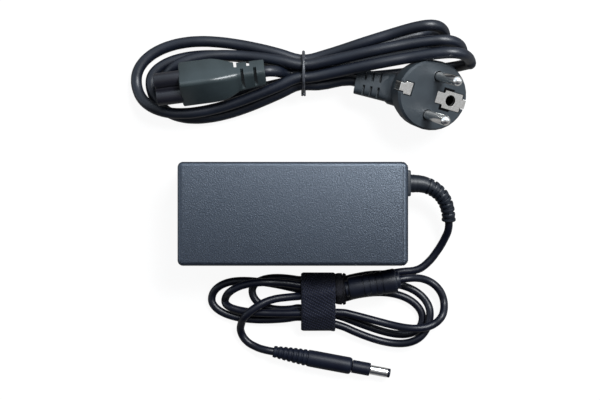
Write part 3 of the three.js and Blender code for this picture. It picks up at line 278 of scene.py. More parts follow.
def makeWeaveMaterial():
    material, tree, shader = startMaterial("strapWeave", 0.62, specular=0.2)
    shader.inputs["Sheen Weight"].default_value = 0.06
    shader.inputs["Sheen Roughness"].default_value = 0.4
    place = addNode(tree, "UVMap", {})
    place.node.uv_map = "bandMap"
    crossed = []
    for slant, size in weaveLook["slants"]:
        turned = addNode(tree, "Mapping", {"Vector": place, "Rotation": (0, 0, slant)})
        crossed.append(addNode(tree, "TexWave", {
            "Vector": turned, "Scale": size / weaveLook["pitch"] / weaveLook["bands"], "Distortion": 1.6,
            "Detail": 2.0, "Detail Scale": 2.5}, "Fac"))
    fuzz = addMath(tree, "MULTIPLY", addNoise(tree, weaveLook["fuzz"], 3, 0.7), weaveLook["fuzzShare"])
    height = addMath(tree, "ADD", addMath(tree, "MULTIPLY", *crossed), fuzz)
    # the low gaps between the yarns get painted shade, the raised yarns their own colour
    paint(tree, shader, height, [(0.12, weaveLook["paintedGapShade"]), (0.75, weaveLook["yarnColor"])])
    addBump(tree, shader, height, weaveLook["depth"], 1.0)
    return material


# hook tape: short dark pile, painted darker at its roots as shade among the pile
pileLook = {"paintedRootShade": (0.004, 0.004, 0.006), "end": (0.016, 0.016, 0.022), "cells": 2600, "depth": 0.0004}


def makePileMaterial():
    material, tree, shader = startMaterial("hookPile", 0.95, specular=0.15)
    shader.inputs["Sheen Weight"].default_value = 0.04
    place = addNode(tree, "TexCoord", {}, "Object")
    pile = addNode(tree, "TexVoronoi", {"Vector": place, "Scale": pileLook["cells"]}, "Distance")
    # darker at the low roots as painted shade, the pile's own colour at the tips
    paint(tree, shader, pile, [(0.0, pileLook["paintedRootShade"]), (0.8, pileLook["end"])])
    addBump(tree, shader, pile, pileLook["depth"], 0.9)
    return material


# plated metal: faint lengthwise brush marks
def makeMetalMaterial(name, color, worn, roughness):
    material, tree, shader = startMaterial(name, roughness, metallic=1.0)
    brushed = addNoise(tree, 700, 4, 0.6, (1, 1, 6))
    paint(tree, shader, brushed, [(0.3, worn), (0.6, color)])
    addRoughness(tree, shader, brushed, roughness - 0.04, roughness + 0.1)
    addBump(tree, shader, brushed, 0.00001, 0.2)
    return material


# everything else: two close tones of one color
def makePlainMaterial(name, dark, light, roughness, scale=600, metallic=0.0):
    material, tree, shader = startMaterial(name, roughness, metallic)
    tone = addNoise(tree, scale, 3, 0.6)
    paint(tree, shader, tone, [(0.3, dark), (0.7, light)])
    addBump(tree, shader, tone, 0.00003, 0.3)
    return material


casePlastic = makeCaseMaterial()
reliefRubber = makeMouldedMaterial("reliefRubber", (0.003, 0.005, 0.009), (0.006, 0.008, 0.013), 0.44, 0.3)
plugPlastic = makeMouldedMaterial("plugPlastic", (0.014, 0.019, 0.024), (0.020, 0.027, 0.033), 0.5)
# near-black plastic: painted shade for the slots beside the earth plate
paintedSlotShade = makeMouldedMaterial("paintedSlotShade", (0.0008, 0.0008, 0.001), (0.0012, 0.0012, 0.0015), 0.8, 0.05)
connectorPlastic = makeMouldedMaterial("connectorPlastic", (0.02, 0.028, 0.03), (0.027, 0.037, 0.04), 0.34)
nosePlastic = makeMouldedMaterial("nosePlastic", (0.005, 0.005, 0.008), (0.007, 0.007, 0.011), 0.32)
gripPlastic = makeMouldedMaterial("gripPlastic", (0.0025, 0.0035, 0.009), (0.004, 0.006, 0.013), 0.46, 0.17)
ferritePlastic = makeMouldedMaterial("ferritePlastic", (0.002, 0.003, 0.008), (0.004, 0.006, 0.013), 0.42,
                                     0.3)
outputJacket = makeCordMaterial("outputJacket", (0.0012, 0.0018, 0.0056), (0.0022, 0.0032, 0.0085), 0.34,
                                0.26)
mainsJacket = makeCordMaterial("mainsJacket", (0.002, 0.0034, 0.0076), (0.0036, 0.0056, 0.0118), 0.4, 0.42)
strapWeave = makeWeaveMaterial()
hookPile = makePileMaterial()
brightNickel = makeMetalMaterial("brightNickel", (0.90, 0.89, 0.87), (0.80, 0.77, 0.72), 0.16)
plateNickel = makeMetalMaterial("plateNickel", (0.92, 0.89, 0.84), (0.84, 0.80, 0.74), 0.2)
# nickel painted near black: painted shade for the sleeve down in the earth socket
paintedShadeNickel = makeMetalMaterial("paintedShadeNickel", (0.05, 0.048, 0.045), (0.03, 0.03, 0.03), 0.3)
brightBrass = makeMetalMaterial("brightBrass", (0.72, 0.55, 0.26), (0.55, 0.40, 0.17), 0.25)
coveredWire = makePlainMaterial("coveredWire", (0.012, 0.013, 0.017), (0.05, 0.053, 0.062), 0.3)
inletPlastic = makePlainMaterial("inletPlastic", (0.010, 0.011, 0.013), (0.016, 0.017, 0.020), 0.5)
print("materials made")


# Finishing. Shapes are drawn in millimetres and placed by their own matrix.
def finishPiece(name, bm, material, body, replaced, place=None, sharp=35, bevel=0):
    bmesh.ops.remove_doubles(bm, verts=bm.verts, dist=1e-4)
    bmesh.ops.recalc_face_normals(bm, faces=bm.faces)
    bm.transform(Matrix.Scale(mm, 4) @ (place or Matrix.Identity(4)))
    data = bpy.data.meshes.new(name)
    bm.to_mesh(data)
    bm.free()
    data.materials.clear()
    data.materials.append(material)
    data.shade_smooth()
    data.set_sharp_from_angle(angle=math.radians(sharp))
    piece = addObject(name, data)
    if bevel:
        roundEdges(piece, bevel, sharp)
    return claim(piece, body, replaced)


def roundEdges(piece, width, angle):
    rounding = piece.modifiers.new("edges", "BEVEL")
    rounding.width = width * mm
    rounding.segments = 2
    rounding.limit_method = "ANGLE"
    rounding.angle_limit = math.radians(angle)
    rounding.harden_normals = True


def dressedCopy(node, material, body, sharp=32, bevel=0.15):
    # a merged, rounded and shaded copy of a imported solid
    bm = bmesh.new()
    bm.from_mesh(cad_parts[node].data)
    bmesh.ops.remove_doubles(bm, verts=bm.verts, dist=2e-6)
    bmesh.ops.dissolve_limit(bm, angle_limit=math.radians(1), verts=bm.verts, edges=bm.edges)
    bm.transform(Matrix.Scale(1 / mm, 4))
    return finishPiece(node + "_dressed", bm, material, body, (node,), sharp=sharp, bevel=bevel)


def carve(piece, cutters):
    # cuts away shapes drawn in millimetres where the piece stands
    for bm in cutters:
        bm.transform(Matrix.Scale(mm, 4))
        bmesh.ops.recalc_face_normals(bm, faces=bm.faces)
        data = bpy.data.meshes.new("cutter")
        bm.to_mesh(data)
        bm.free()
        cutter = addObject("cutter", data)
        hole = piece.modifiers.new("cut", "BOOLEAN")
        hole.operation = "DIFFERENCE"
        hole.solver = "EXACT"
        hole.object = cutter
        bpy.context.view_layer.update()
        cut = bpy.data.meshes.new_from_object(piece.evaluated_get(bpy.context.evaluated_depsgraph_get()))
        piece.modifiers.remove(hole)
        piece.data = cut
        bpy.data.objects.remove(cutter)


# Shape starters, all in millimetres.
def blockMesh(x0, x1, y0, y1, z0, z1):
    bm = bmesh.new()
    bmesh.ops.create_cube(bm, size=1)
    bmesh.ops.scale(bm, vec=(x1 - x0, y1 - y0, z1 - z0), verts=bm.verts)
    bmesh.ops.translate(bm, vec=((x0 + x1) / 2, (y0 + y1) / 2, (z0 + z1) / 2), verts=bm.verts)
    return bm


def addTo(bm, other):
    # adds the shape of another bmesh to this one
    data = bpy.data.meshes.new("part")
    other.to_mesh(data)
    other.free()
    bm.from_mesh(data)
    bpy.data.meshes.remove(data)


def turnedMesh(profile, steps=48):
    # [x, radius] points spun round the X axis
    bm = bmesh.new()
    chain = [bm.verts.new((x, 0, radius)) for x, radius in profile]
    for a, b in zip(chain, chain[1:]):
        bm.edges.new((a, b))
    bmesh.ops.spin(bm, geom=bm.verts[:] + bm.edges[:], cent=(0, 0, 0), axis=(1, 0, 0), angle=turn,
                   steps=steps, use_merge=True)
    bmesh.ops.remove_doubles(bm, verts=bm.verts, dist=1e-4)
    return bm


def turnedPiece(name, profile, material, body, replaced, place, steps=48, sharp=30):
    return finishPiece(name, turnedMesh(profile, steps), material, body, replaced, place, sharp)


def roundedRing(width, height, radius, corner=6):
    # rounded rectangle in the YZ plane, the same number of points for every size
    points = []
    for sideY, sideZ, first in ((1, 1, 0), (-1, 1, 1), (-1, -1, 2), (1, -1, 3)):
        for k in range(corner):
            angle = (first + k / (corner - 1)) * math.pi / 2
            y = sideY * (width / 2 - radius) + radius * math.cos(angle)
            z = sideZ * (height / 2 - radius) + radius * math.sin(angle)
            points.append((y, z))
    return points


def loftMesh(stations):
    # each station is [x, ring of (y, z)], skinned along X and closed at both ends
    bm = bmesh.new()
    x, ring = stations[0]
    verts = [bm.verts.new((x, y, z)) for y, z in ring]
    bm.faces.new(verts)
    edges = [bm.edges.get((a, b)) for a, b in zip(verts, verts[1:] + verts[:1])]
    for x, ring in stations[1:]:
        grown = bmesh.ops.extrude_edge_only(bm, edges=edges)["geom"]
        fresh = [g for g in grown if isinstance(g, bmesh.types.BMVert)]
        edges = [g for g in grown if isinstance(g, bmesh.types.BMEdge) and all(v in fresh for v in g.verts)]
        nextVerts = []
        for vert in verts:
            (other,) = [e.other_vert(vert) for e in vert.link_edges if e.other_vert(vert) in fresh]
            nextVerts.append(other)
        verts = nextVerts
        for vert, (y, z) in zip(verts, ring):
            vert.co = (x, y, z)
    bm.faces.new(verts)
    return bm


def bendAlong(bm, path):
    # carries a straight shape along X onto a path, by arc length
    marks = [0.0]
    for a, b in zip(path, path[1:]):
        marks.append(marks[-1] + (b - a).length)
    frames = []
    side = Vector((0, 0, 1))
    for i, point in enumerate(path):
        along = (path[min(i + 1, len(path) - 1)] - path[max(i - 1, 0)]).normalized()
        side = (side - along * side.dot(along)).normalized()
        frames.append((point, along, side.cross(along), side.copy()))
    for vert in bm.verts:
        x = min(max(vert.co.x, 0), marks[-1])
        i = max(k for k, mark in enumerate(marks[:-1]) if mark <= x)
        t = (x - marks[i]) / (marks[i + 1] - marks[i])
        (p, a, y, z), (q, b, u, w) = frames[i], frames[i + 1]
        over = vert.co.x - x
        vert.co = (p.lerp(q, t) + a.lerp(b, t) * over + y.lerp(u, t).normalized() * vert.co.y
                   + z.lerp(w, t).normalized() * vert.co.z)
    return bm


def rotation(degrees, axis):
    return Matrix.Rotation(math.radians(degrees), 4, axis)


# Output cord, in millimetres: out of the boot, seven times through the strap, into the plug.
outputCord = {"radius": 1.9, "length": 0.828, "low": 1.95}
strapEdges = (24.6, 13.6, 2.6)  # right edge, middle and left edge of the strapped part, in X
outputStrands = {
    "first": [(-32.6, 3.7), (-32.6, 3.7), (-32.6, 3.7)],
    "second": [(-41.6, 3.7), (-40.6, 3.7), (-37.3, 3.7)],
    "third": [(-37.1, 3.7), (-36.5, 5.95), (-34.9, 7.5)],
    "ferrite": [(-36.8, 11.1), (-38.6, 10.7), (-40.4, 8.4)],
    "firstBack": [(-51, 3.7), (-48.2, 3.7), (-46.4, 3.7)],
    "secondBack": [(-55.6, 3.7), (-52.7, 3.7), (-50.9, 3.7)],
    "thirdBack": [(-48.4, 7.9), (-48.6, 8.1), (-48.6, 7.6)],
}
ferriteEnd = Vector((52.6, -31.9, 11.5))
ferriteStart = Vector((26.8, -36.4, 11.2))
bootPath = smoothPath([(55.5, 14.5, 15), (62.2, 14.1, 14.8), (67.4, 12.2, 14.1), (71.8, 8.6, 13),
                       (74.4, 4, 11.6), (75.6, -1.2, 10.2), (75.7, -3.6, 9.5)], 0.8)
bootEnd = bootPath[-1]
bootAlong = (bootPath[-1] - bootPath[-2]).normalized()
outputPlugStart = Vector((-9.6, -67.7, 4.25))
outputPlugTurn = -10.6
outputPlugAlong = Vector((math.cos(math.radians(outputPlugTurn)), math.sin(math.radians(outputPlugTurn)), 0))


def outputRoute():
    low = outputCord["low"]
    first, second, third, upper, firstBack, secondBack, thirdBack = (
        [Vector((x, y, z)) for x, (y, z) in zip(strapEdges, strand)] for strand in outputStrands.values())
    turns = hankTurns([first, firstBack, second, secondBack, third, thirdBack], 2, [
        (-20, 1.3, (1.7, -2.3), [low] * 5),
        (63.7, -5.1, (-7.4, 5.2), [low] * 5),
        (-39.9, 1.7, (5.35, -3.15), [7, 4.2, low, low, low]),
        (67.1, -2.5, (-9.5, 5.2), [3.6, 5.9, 5, 2.4, low]),
        (-33.3, -1.5, (3.2, -0.65), [11.7, 10, 2.6, 4.7, 6.4]),
    ])
    start = Vector((57.5, -28.2, low))
    startAlong = Vector((-1, -0.14, 0)).normalized()
    return [
        bootEnd - bootAlong * 2, bootEnd + bootAlong * 4, (74.3, -12.2, 5.4), (70.6, -19, 2.6),
        (66, -24.6, low), start - startAlong * 4, start + startAlong * 4, (46, -29.8, low),
        (38, -30.2, low), (30, -31.5, 2.8), first[0], first[1], *turns,
        *endLoop(thirdBack[0], ferriteEnd, 71.1, -11.7, (-3.2, 2.9), [7.6, 10.6, 9.1, 4.7, 5.2]),
        ferriteEnd.lerp(ferriteStart, 0.5), ferriteStart, *upper, upper[2] + Vector((-3.8, -0.3, 0)),
        (-11, -42.2, 9.6), (-18, -45.6, 10.9), (-22.6, -49.4, 10.6), (-25.2, -54, 6), (-25.4, -58.6, 2.6),
        (-22.8, -62.8, low), (-18.2, -65.6, 2.6),
        outputPlugStart - outputPlugAlong * 4, outputPlugStart + outputPlugAlong * 2,
    ]


# Mains cord, in millimetres: one strand in the middle of the tie and six round it.
mainsCord = {"radius": 2.7, "length": 1.06, "low": 2.75, "lift": 1.85, "pitch": 6.1, "tieX": 5.2,
             "tieY": 68.5, "halfWaist": 2}
connectorPlace = Matrix.Translation((-65.5, 60.3, 17.6)) @ rotation(7.4, "Z") @ rotation(-40, "X")
connectorTailEnd = Vector((52.8, 0, 1.3))
plugFacePlace = Matrix.Translation((67, 56.1, 22)) @ rotation(-13.5, "Z") @ rotation(26, "Y")
plugHeadPlace = plugFacePlace @ rotation(6.5, "X")
reliefTilt = math.radians(31)
reliefStart = Vector((-6, 0, -13))
reliefDirection = rotation(2, "Z") @ Vector((-math.cos(reliefTilt), 0, -math.sin(reliefTilt)))
reliefLength = 26.2
tieZ = mainsCord["low"] + mainsCord["lift"] + mainsCord["pitch"] * math.sin(math.pi / 3)


def mainsStrand(sixth):
    # right edge, middle and left edge of a strand; sixths count from +Y, None is the middle strand
    angle = (sixth or 0) * math.pi / 3
    reach = 0 if sixth is None else mainsCord["pitch"]
    y = mainsCord["tieY"] + reach * math.cos(angle)
    z = tieZ + reach * math.sin(angle)
    return [Vector((mainsCord["tieX"] + x * mainsCord["halfWaist"], y, z)) for x in (1, 0, -1)]


def mainsRoute():
    # the strands in the order in which the cord runs through the tie
    low = mainsCord["low"]
    strands = [mainsStrand(sixth) for sixth in (None, 1, 4, 2, 0, 5, 3)]
    turns = hankTurns(strands, 0, [
        (81.8, 8, (5.3, 6.3), [6, low, 13, 24, 21.5]),
        (-62.4, -4.5, (7.7, -6.9), [9.4, 9.2, 4.6, low, low]),
        (85.7, 6.8, (0.8, 6.1), [2.9, low, 14, 28.5, 24]),
        (-76.8, -4.5, (-16, 12.5), [9.9, 8.9, 3.2, low, 5.5]),
        (73.5, 12.2, (7.4, 7.5), [18, 24, 13, low, 3]),
        (-69.7, -2.5, (8.1, -15.9), [low, low, low, low, 3]),
    ])
    inner, outer = strands[0], strands[-1]
    connectorEnd = connectorPlace @ connectorTailEnd
    connectorAlong = (connectorPlace.to_3x3() @ Vector((1, 0, 0))).normalized()
    plugEnd = plugFacePlace @ (reliefStart + reliefDirection * reliefLength)
    plugAlong = (plugFacePlace.to_3x3() @ reliefDirection).normalized()
    return [
        connectorEnd - connectorAlong * 2, connectorEnd + connectorAlong * 2.2,
        inner[2] + Vector((-5.4, -0.4, 0.6)), inner[2], inner[1], *turns,
        outer[0], outer[0] + Vector((5.4, 0, 0)), plugEnd + plugAlong * 3, plugEnd - plugAlong * 2,
    ]


def cordPiece(name, points, cord, body, material, replaced):
    points = [Vector(point) for point in points]
    data = startTube(name, cord["radius"], 6, 4)
    addRun(data, points)
    print(f"{name} made: {pathLength(points):.0f} mm")
    return finishTube(data, material, body, replaced)


outputCordPiece = cordPiece("output_cord", outputRoute(), outputCord, "adapter", outputJacket,
                            ("dc_cord_lead", "dc_cord_hank", "dc_cord_tail"))
mainsCordPiece = cordPiece("mains_cord", mainsRoute(), mainsCord, "mains_lead", mainsJacket,
                           ("mains_cord_connector_end", "mains_cord_hank", "mains_cord_plug_end"))


# Adapter case: two shells that meet at a seam, with a shallow line round the output end.
caseSize = {"length": 108.4, "width": 49, "height": 30, "wall": 2.4, "corner": 2.6, "edge": 2,
            "rimEdge": 0.12, "seam": 15, "seamGap": 0.3, "lineInset": 2.1, "lineWidth": 0.45,
            "lineDepth": 0.35, "lineFlank": 0.08, "inletHole": (22.6, 18.6), "outletY": 14.5,
            "outletHole": 10}


def openHole(bm, x, centre, size):
    # a rectangular hole in the end wall at x, cut free along its four sides
    for axis, side in ((1, 0.5), (1, -0.5), (2, 0.5), (2, -0.5)):
        point, normal = Vector(centre), Vector()
        point[axis] += side * size[axis - 1]
        normal[axis] = 1
        wall = [f for f in bm.faces if abs(f.calc_center_median().x - x) < 1e-3]
        geom = list({*wall, *(e for f in wall for e in f.edges), *(v for f in wall for v in f.verts)})
        bmesh.ops.bisect_plane(bm, geom=geom, plane_co=point, plane_no=normal, dist=1e-5)
    inside = [f for f in bm.faces if abs(f.calc_center_median().x - x) < 1e-3
              and abs(f.calc_center_median().y - centre[1]) < size[0] / 2
              and abs(f.calc_center_median().z - centre[2]) < size[1] / 2]
    bmesh.ops.delete(bm, geom=inside, context="FACES")


def sinkLine(bm, lineX, rim):
    width, flank = caseSize["lineWidth"], caseSize["lineFlank"]
    for x in (lineX, lineX - flank, lineX - width + flank, lineX - width):
        geom = bm.verts[:] + bm.edges[:] + bm.faces[:]
        bmesh.ops.bisect_plane(bm, geom=geom, plane_co=(x, 0, 0), plane_no=(1, 0, 0))
    bm.normal_update()
    sunk = [v for v in bm.verts if abs(v.co.x - lineX + width / 2) < width / 2 - flank / 2]
    for vert, normal in [(v, v.normal.copy()) for v in sunk]:
        normal.x = 0
        if abs(vert.co.z - rim) < 1e-3:
            normal.z = 0
        vert.co -= normal.normalized() * caseSize["lineDepth"]


def makeCover(name, node, upper):
    half = caseSize["length"] / 2
    side = caseSize["width"] / 2
    seam = caseSize["seam"]
    outer = caseSize["height"] if upper else 0
    rim = seam + caseSize["seamGap"] / 2 * (1 if upper else -1)
    bm = blockMesh(-half, half, -side, side, min(outer, rim), max(outer, rim))
    upright = [e for e in bm.edges if abs(e.verts[0].co.z - e.verts[1].co.z) > 1]
    bmesh.ops.bevel(bm, geom=upright, offset=caseSize["corner"], affect="EDGES", segments=8, profile=0.5,
                    material=-1)
    outline = [e for e in bm.edges if all(abs(v.co.z - outer) < 1e-3 for v in e.verts)
               and len(e.link_faces) == 2 and any(f.normal.z ** 2 < 0.5 for f in e.link_faces)]
    bmesh.ops.bevel(bm, geom=outline, offset=caseSize["edge"], affect="EDGES", segments=6, profile=0.5,
                    material=-1)
    lid = [f for f in bm.faces if abs(f.calc_center_median().z - rim) < 1e-3 and abs(f.normal.z) > 0.9]
    bmesh.ops.delete(bm, geom=lid, context="FACES")
    sinkLine(bm, half - caseSize["lineInset"], rim)
    openHole(bm, -half, (-half, 0, seam), caseSize["inletHole"])
    openHole(bm, half, (half, caseSize["outletY"], seam), (caseSize["outletHole"],) * 2)
    cover = finishPiece(name, bm, casePlastic, "adapter", (node,), sharp=38)
    wall = cover.modifiers.new("wall", "SOLIDIFY")
    wall.thickness = caseSize["wall"] * mm
    wall.offset = -1
    roundEdges(cover, caseSize["rimEdge"], 50)


makeCover("bottom_cover_shell", "bottom_cover", False)
makeCover("top_cover_shell", "top_cover", True)
print("case made")


# Mains inlet at the other end: a moulded housing round three pins.
dressedCopy("inlet_housing", inletPlastic, "adapter", bevel=0.25)
for contact in ("line", "neutral", "earth"):
    dressedCopy("inlet_pin_" + contact, brightBrass, "adapter", sharp=50, bevel=0.1)


# What is inside the closed case, and the core in the ferrite cover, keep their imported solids.
insideLooks = [
    (makePlainMaterial("boardLaminate", (0.36, 0.25, 0.09), (0.45, 0.33, 0.13), 0.6), ["circuit_board"]),
    (makePlainMaterial("whiteFilm", (0.66, 0.63, 0.56), (0.76, 0.73, 0.66), 0.5),
     ["insulation_sheet", "mains_fuse"]),
    (makePlainMaterial("yellowCase", (0.52, 0.34, 0.03), (0.62, 0.42, 0.05), 0.45),
     ["suppression_capacitor"]),
    (makePlainMaterial("copperWinding", (0.45, 0.22, 0.06), (0.62, 0.34, 0.12), 0.35, 1400, 0.8),
     ["suppression_choke", "transformer_winding", "output_choke"]),
    (makePlainMaterial("canSleeve", (0.012, 0.014, 0.02), (0.02, 0.023, 0.032), 0.35),
     ["bulk_capacitor", "output_capacitor_1", "output_capacitor_2"]),
    (makePlainMaterial("rolledAluminium", (0.42, 0.43, 0.45), (0.56, 0.57, 0.6), 0.35, 900, 0.95),
     ["primary_heatsink", "secondary_heatsink"]),
    (makePlainMaterial("mouldedPackage", (0.008, 0.008, 0.009), (0.014, 0.014, 0.016), 0.6),
     ["bridge_rectifier", "switching_transistor", "output_rectifier", "optocoupler"]),
    (makePlainMaterial("ferriteCeramic", (0.018, 0.018, 0.02), (0.03, 0.03, 0.033), 0.65),
     ["transformer_core", "ferrite_core"]),
]
for look, nodes in insideLooks:
    for node in nodes:
        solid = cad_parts[node]
        solid.data.materials.clear()
        solid.data.materials.append(look)
print("inlet and inside dressed")


# Output strain relief: a square flange on the case and a ribbed boot that bends with the cord.
boot = {"start": 4.5, "end": 3.1, "taper": 0.8, "smooth": 0.27, "ripple": 0.05, "ribs": 9,
        "groove": (0.08, 0.5), "dip": 0.7, "bridge": 0.55, "bridgeDip": 0.15, "crown": 0.12, "lastRib": 0.2,
        "endTrim": 0.25, "flange": 12.5, "flangeX": (54.5, 56.4), "neck": 9.4, "neckX": 50.5, "corner": 1.2}
ribSteps = (0, 0.06, 0.1, 0.16, 0.3, 0.42, 0.48, 0.54, 0.62, 0.8, 0.93)  # shares of one rib's pitch


def makeBoot():
    length = pathLength(bootPath)
    smooth = boot["smooth"] * length
    pitch = (length - smooth) / boot["ribs"]
    grooveStart, grooveEnd = boot["groove"]
    marks = [k * smooth / 14 for k in range(14)]
    marks += [smooth + pitch * (k + step) for k in range(boot["ribs"]) for step in ribSteps]
    marks += [length - 0.25, length]
    bm = turnedMesh([(0, 0), *((x, 1) for x in marks), (length, 0)])
    for vert in bm.verts:
        x = vert.co.x
        across = math.hypot(vert.co.y, vert.co.z)
        if across < 0.5:
            continue
        radius = lerp(boot["start"], boot["end"], (x / length) ** boot["taper"])
        if x > smooth:
            k = min(int((x - smooth) / pitch), boot["ribs"] - 1)
            step = (x - smooth) / pitch - k
            angle = math.atan2(vert.co.z, vert.co.y) + (k % 2) * math.pi / 2
            bridged = abs(math.cos(angle)) > math.cos(boot["bridge"] / 2)
            if grooveStart < step < grooveEnd:
                radius -= boot["dip"] * (boot["bridgeDip"] if bridged else 1)
            radius += boot["crown"] * math.sin(math.pi * min(max((step - grooveEnd) / (1 - grooveEnd), 0), 1))
            if k == boot["ribs"] - 1 and step > grooveEnd:
                radius += boot["lastRib"]
        else:
            radius += boot["ripple"] * math.sin(turn * x / smooth * 4)
        if x > length - 0.2:
            radius -= boot["endTrim"]
        vert.co.y *= radius / across
        vert.co.z *= radius / across
    bendAlong(bm, bootPath)
    flange, neck = boot["flange"], boot["neck"]
    inner, outer = boot["flangeX"]
    for stations in (((inner, flange), (outer - 0.5, flange), (outer, flange - 0.6)),
                     ((boot["neckX"], neck), (inner + 0.4, neck))):
        bar = loftMesh([(x, roundedRing(width, width, boot["corner"])) for x, width in stations])
        bmesh.ops.translate(bar, vec=(0, caseSize["outletY"], caseSize["seam"]), verts=bar.verts)
        addTo(bm, bar)
    return finishPiece("relief_boot", bm, reliefRubber, "adapter", ("output_strain_relief",),
                       sharp=40)


reliefBoot = makeBoot()
print("relief made")


# Ferrite cover on the cord: a tapered barrel with rings and a collar at each end.
ferrite = {"length": 26.8, "small": 5.4, "large": 5.9, "smallRound": 0.9, "largeRound": 1, "collar": 3.9,
           "collarLength": 1.7, "bore": 2.2, "rings": 4, "ringPitch": 3.1, "ringDepth": 0.35,
           "ringWidth": 0.6, "ringFlank": 0.12, "pocket": 4.2, "pocketLength": 18.6, "shift": -1.4}


def shoulder(x, radius, size, side, angles):
    # a rounded end of a barrel at x, side -1 for its start and 1 for its end
    bends = [math.radians(angle) for angle in angles]
    return [(x + side * size * (math.cos(b) - 1), radius + size * (math.sin(b) - 1)) for b in bends]


def makeFerrite():
    length, small, large, collar, bore, pocket = (
        ferrite[n] for n in ("length", "small", "large", "collar", "bore", "pocket"))
    start = ferrite["collarLength"]
    end = length - start
    outline = [(0, bore), (0, collar - 0.3), (0.3, collar), (start, collar)]
    outline += shoulder(start, small, ferrite["smallRound"], -1, (0, 30, 60, 90))
    for k in range(ferrite["rings"]):
        x = length / 2 + (k - (ferrite["rings"] - 1) / 2) * ferrite["ringPitch"]
        radius = lerp(small, large, (x - start) / (end - start))
        floor = ferrite["ringWidth"] / 2
        lip = floor + ferrite["ringFlank"]
        outline += [(x - lip, radius - 0.02), (x - floor, radius - ferrite["ringDepth"]),
                    (x + floor, radius - ferrite["ringDepth"]), (x + lip, radius + 0.02)]
    outline += shoulder(end, large, ferrite["largeRound"], 1, (90, 60, 30, 0))
    pocketStart = (length - ferrite["pocketLength"]) / 2
    pocketEnd = length - pocketStart
    outline += [(end, collar + 0.5), (length - 0.4, collar + 0.3), (length, collar - 0.1), (length, bore),
                (pocketEnd, bore), (pocketEnd, pocket), (pocketStart, pocket), (pocketStart, bore), (0, bore)]
    along = (ferriteEnd - ferriteStart).normalized()
    place = (Matrix.Translation(ferriteStart + along * ferrite["shift"])
             @ along.to_track_quat("X", "Z").to_matrix().to_4x4())
    return turnedPiece("ferrite_barrel", outline, ferritePlastic, "adapter", ("ferrite_cover",),
                       place, 64)


ferriteBarrel = makeFerrite()


# Hook and loop strap. Each section is the tight outline of the strands it holds.
strap = {"left": 4.1, "right": 20.7, "thickness": 1.3, "slack": (-54, 4.2), "around": 150, "across": 30}
anchorLoop = {"left": 20.8, "right": 25.9, "thickness": 1, "slack": None, "around": 120, "across": 8}
bandFinish = {"ease": 0.4, "thinEdge": (0.55, 0.9), "wave": 0.1, "fray": 0.12, "low": 0.04}


def strandsAt(x, names):
    # centres of the strands at x, read between the waist's edges
    right, middle, left = strapEdges
    t = (x - middle) / (right - middle) if x > middle else (middle - x) / (middle - left)
    found = []
    for name in names:
        atRight, atMiddle, atLeft = (Vector(spot) for spot in outputStrands[name])
        found.append(atMiddle.lerp(atRight if x > middle else atLeft, t))
    return found


def tightOutline(centres, radius, count):
    # evenly spaced points of the convex outline round circles, from the lowest point towards +Y
    steps = 720
    reaches = []
    for k in range(steps):
        angle = turn * k / steps - math.pi / 2
        out = Vector((math.cos(angle), math.sin(angle)))
        centre = max(centres, key=lambda c: c.dot(out))
        reaches.append(centre + out * radius)
    marks = [0.0]
    for a, b in zip(reaches, reaches[1:] + reaches[:1]):
        marks.append(marks[-1] + (b - a).length)
    points = []
    k = 0
    for i in range(count):
        target = marks[-1] * i / count
        while marks[k + 1] < target:
            k += 1
        t = (target - marks[k]) / max(marks[k + 1] - marks[k], 1e-9)
        points.append(reaches[k].lerp(reaches[(k + 1) % steps], t))
    return points, marks[-1]


def makeBand(name, size, names, material, replaced):
    bm = bmesh.new()
    layer = bm.loops.layers.uv.new("bandMap")
    rows = []
    maps = {}
    count = size["around"]
    reach = outputCord["radius"] + bandFinish["ease"]
    for j in range(size["across"] + 1):
        x = lerp(size["left"], size["right"], j / size["across"])
        edge = min(j, size["across"] - j)
        thin = (*bandFinish["thinEdge"], 1)[min(edge, 2)]
        held = strandsAt(x, names) + ([Vector(size["slack"])] if size["slack"] else [])
        inner, _ = tightOutline(held, reach, count)
        outer, around = tightOutline(held, reach + size["thickness"] * thin, count)
        pair = []
        for points, outside in ((inner, False), (outer, True)):
            row = []
            for i, (y, z) in enumerate(points):
                wave = bandFinish["wave"] * math.sin(i * 0.35 + j * 0.2) if outside and z > 3 else 0
                fray = bandFinish["fray"] * math.sin(i * 0.9) if edge == 0 else 0
                vert = bm.verts.new((x + fray, y, max(z, bandFinish["low"]) + wave))
                maps[vert] = (around * i / count * mm, x * mm)
                row.append(vert)
            pair.append(row)
        rows.append(pair)

    def quad(corners, last):
        face = bm.faces.new(corners)
        for loop in face.loops:
            u, v = maps[loop.vert]
            if last and u == 0:
                u = maps[rows[0][1][count - 1]][0] * count / (count - 1)
            loop[layer].uv = (u, v)

    for (innerA, outerA), (innerB, outerB) in zip(rows, rows[1:]):
        for i in range(count):
            k = (i + 1) % count
            quad((outerA[i], outerB[i], outerB[k], outerA[k]), k == 0)
            quad((innerA[k], innerB[k], innerB[i], innerA[i]), k == 0)
    for (inner, outer), order in ((rows[0], 1), (rows[-1], -1)):
        for i in range(count):
            k = (i + 1) % count
            quad((outer[i], outer[k], inner[k], inner[i])[::order], k == 0)
    return finishPiece(name, bm, material, "adapter", replaced, sharp=60)


upperStrands = ("first", "second", "third", "ferrite")
strapPiece = makeBand("strap_band", strap, tuple(outputStrands), strapWeave, ("cord_strap",))
anchorPiece = makeBand("strap_loop", anchorLoop, upperStrands, hookPile, ("strap_anchor_loop",))
print("ferrite and strap made")


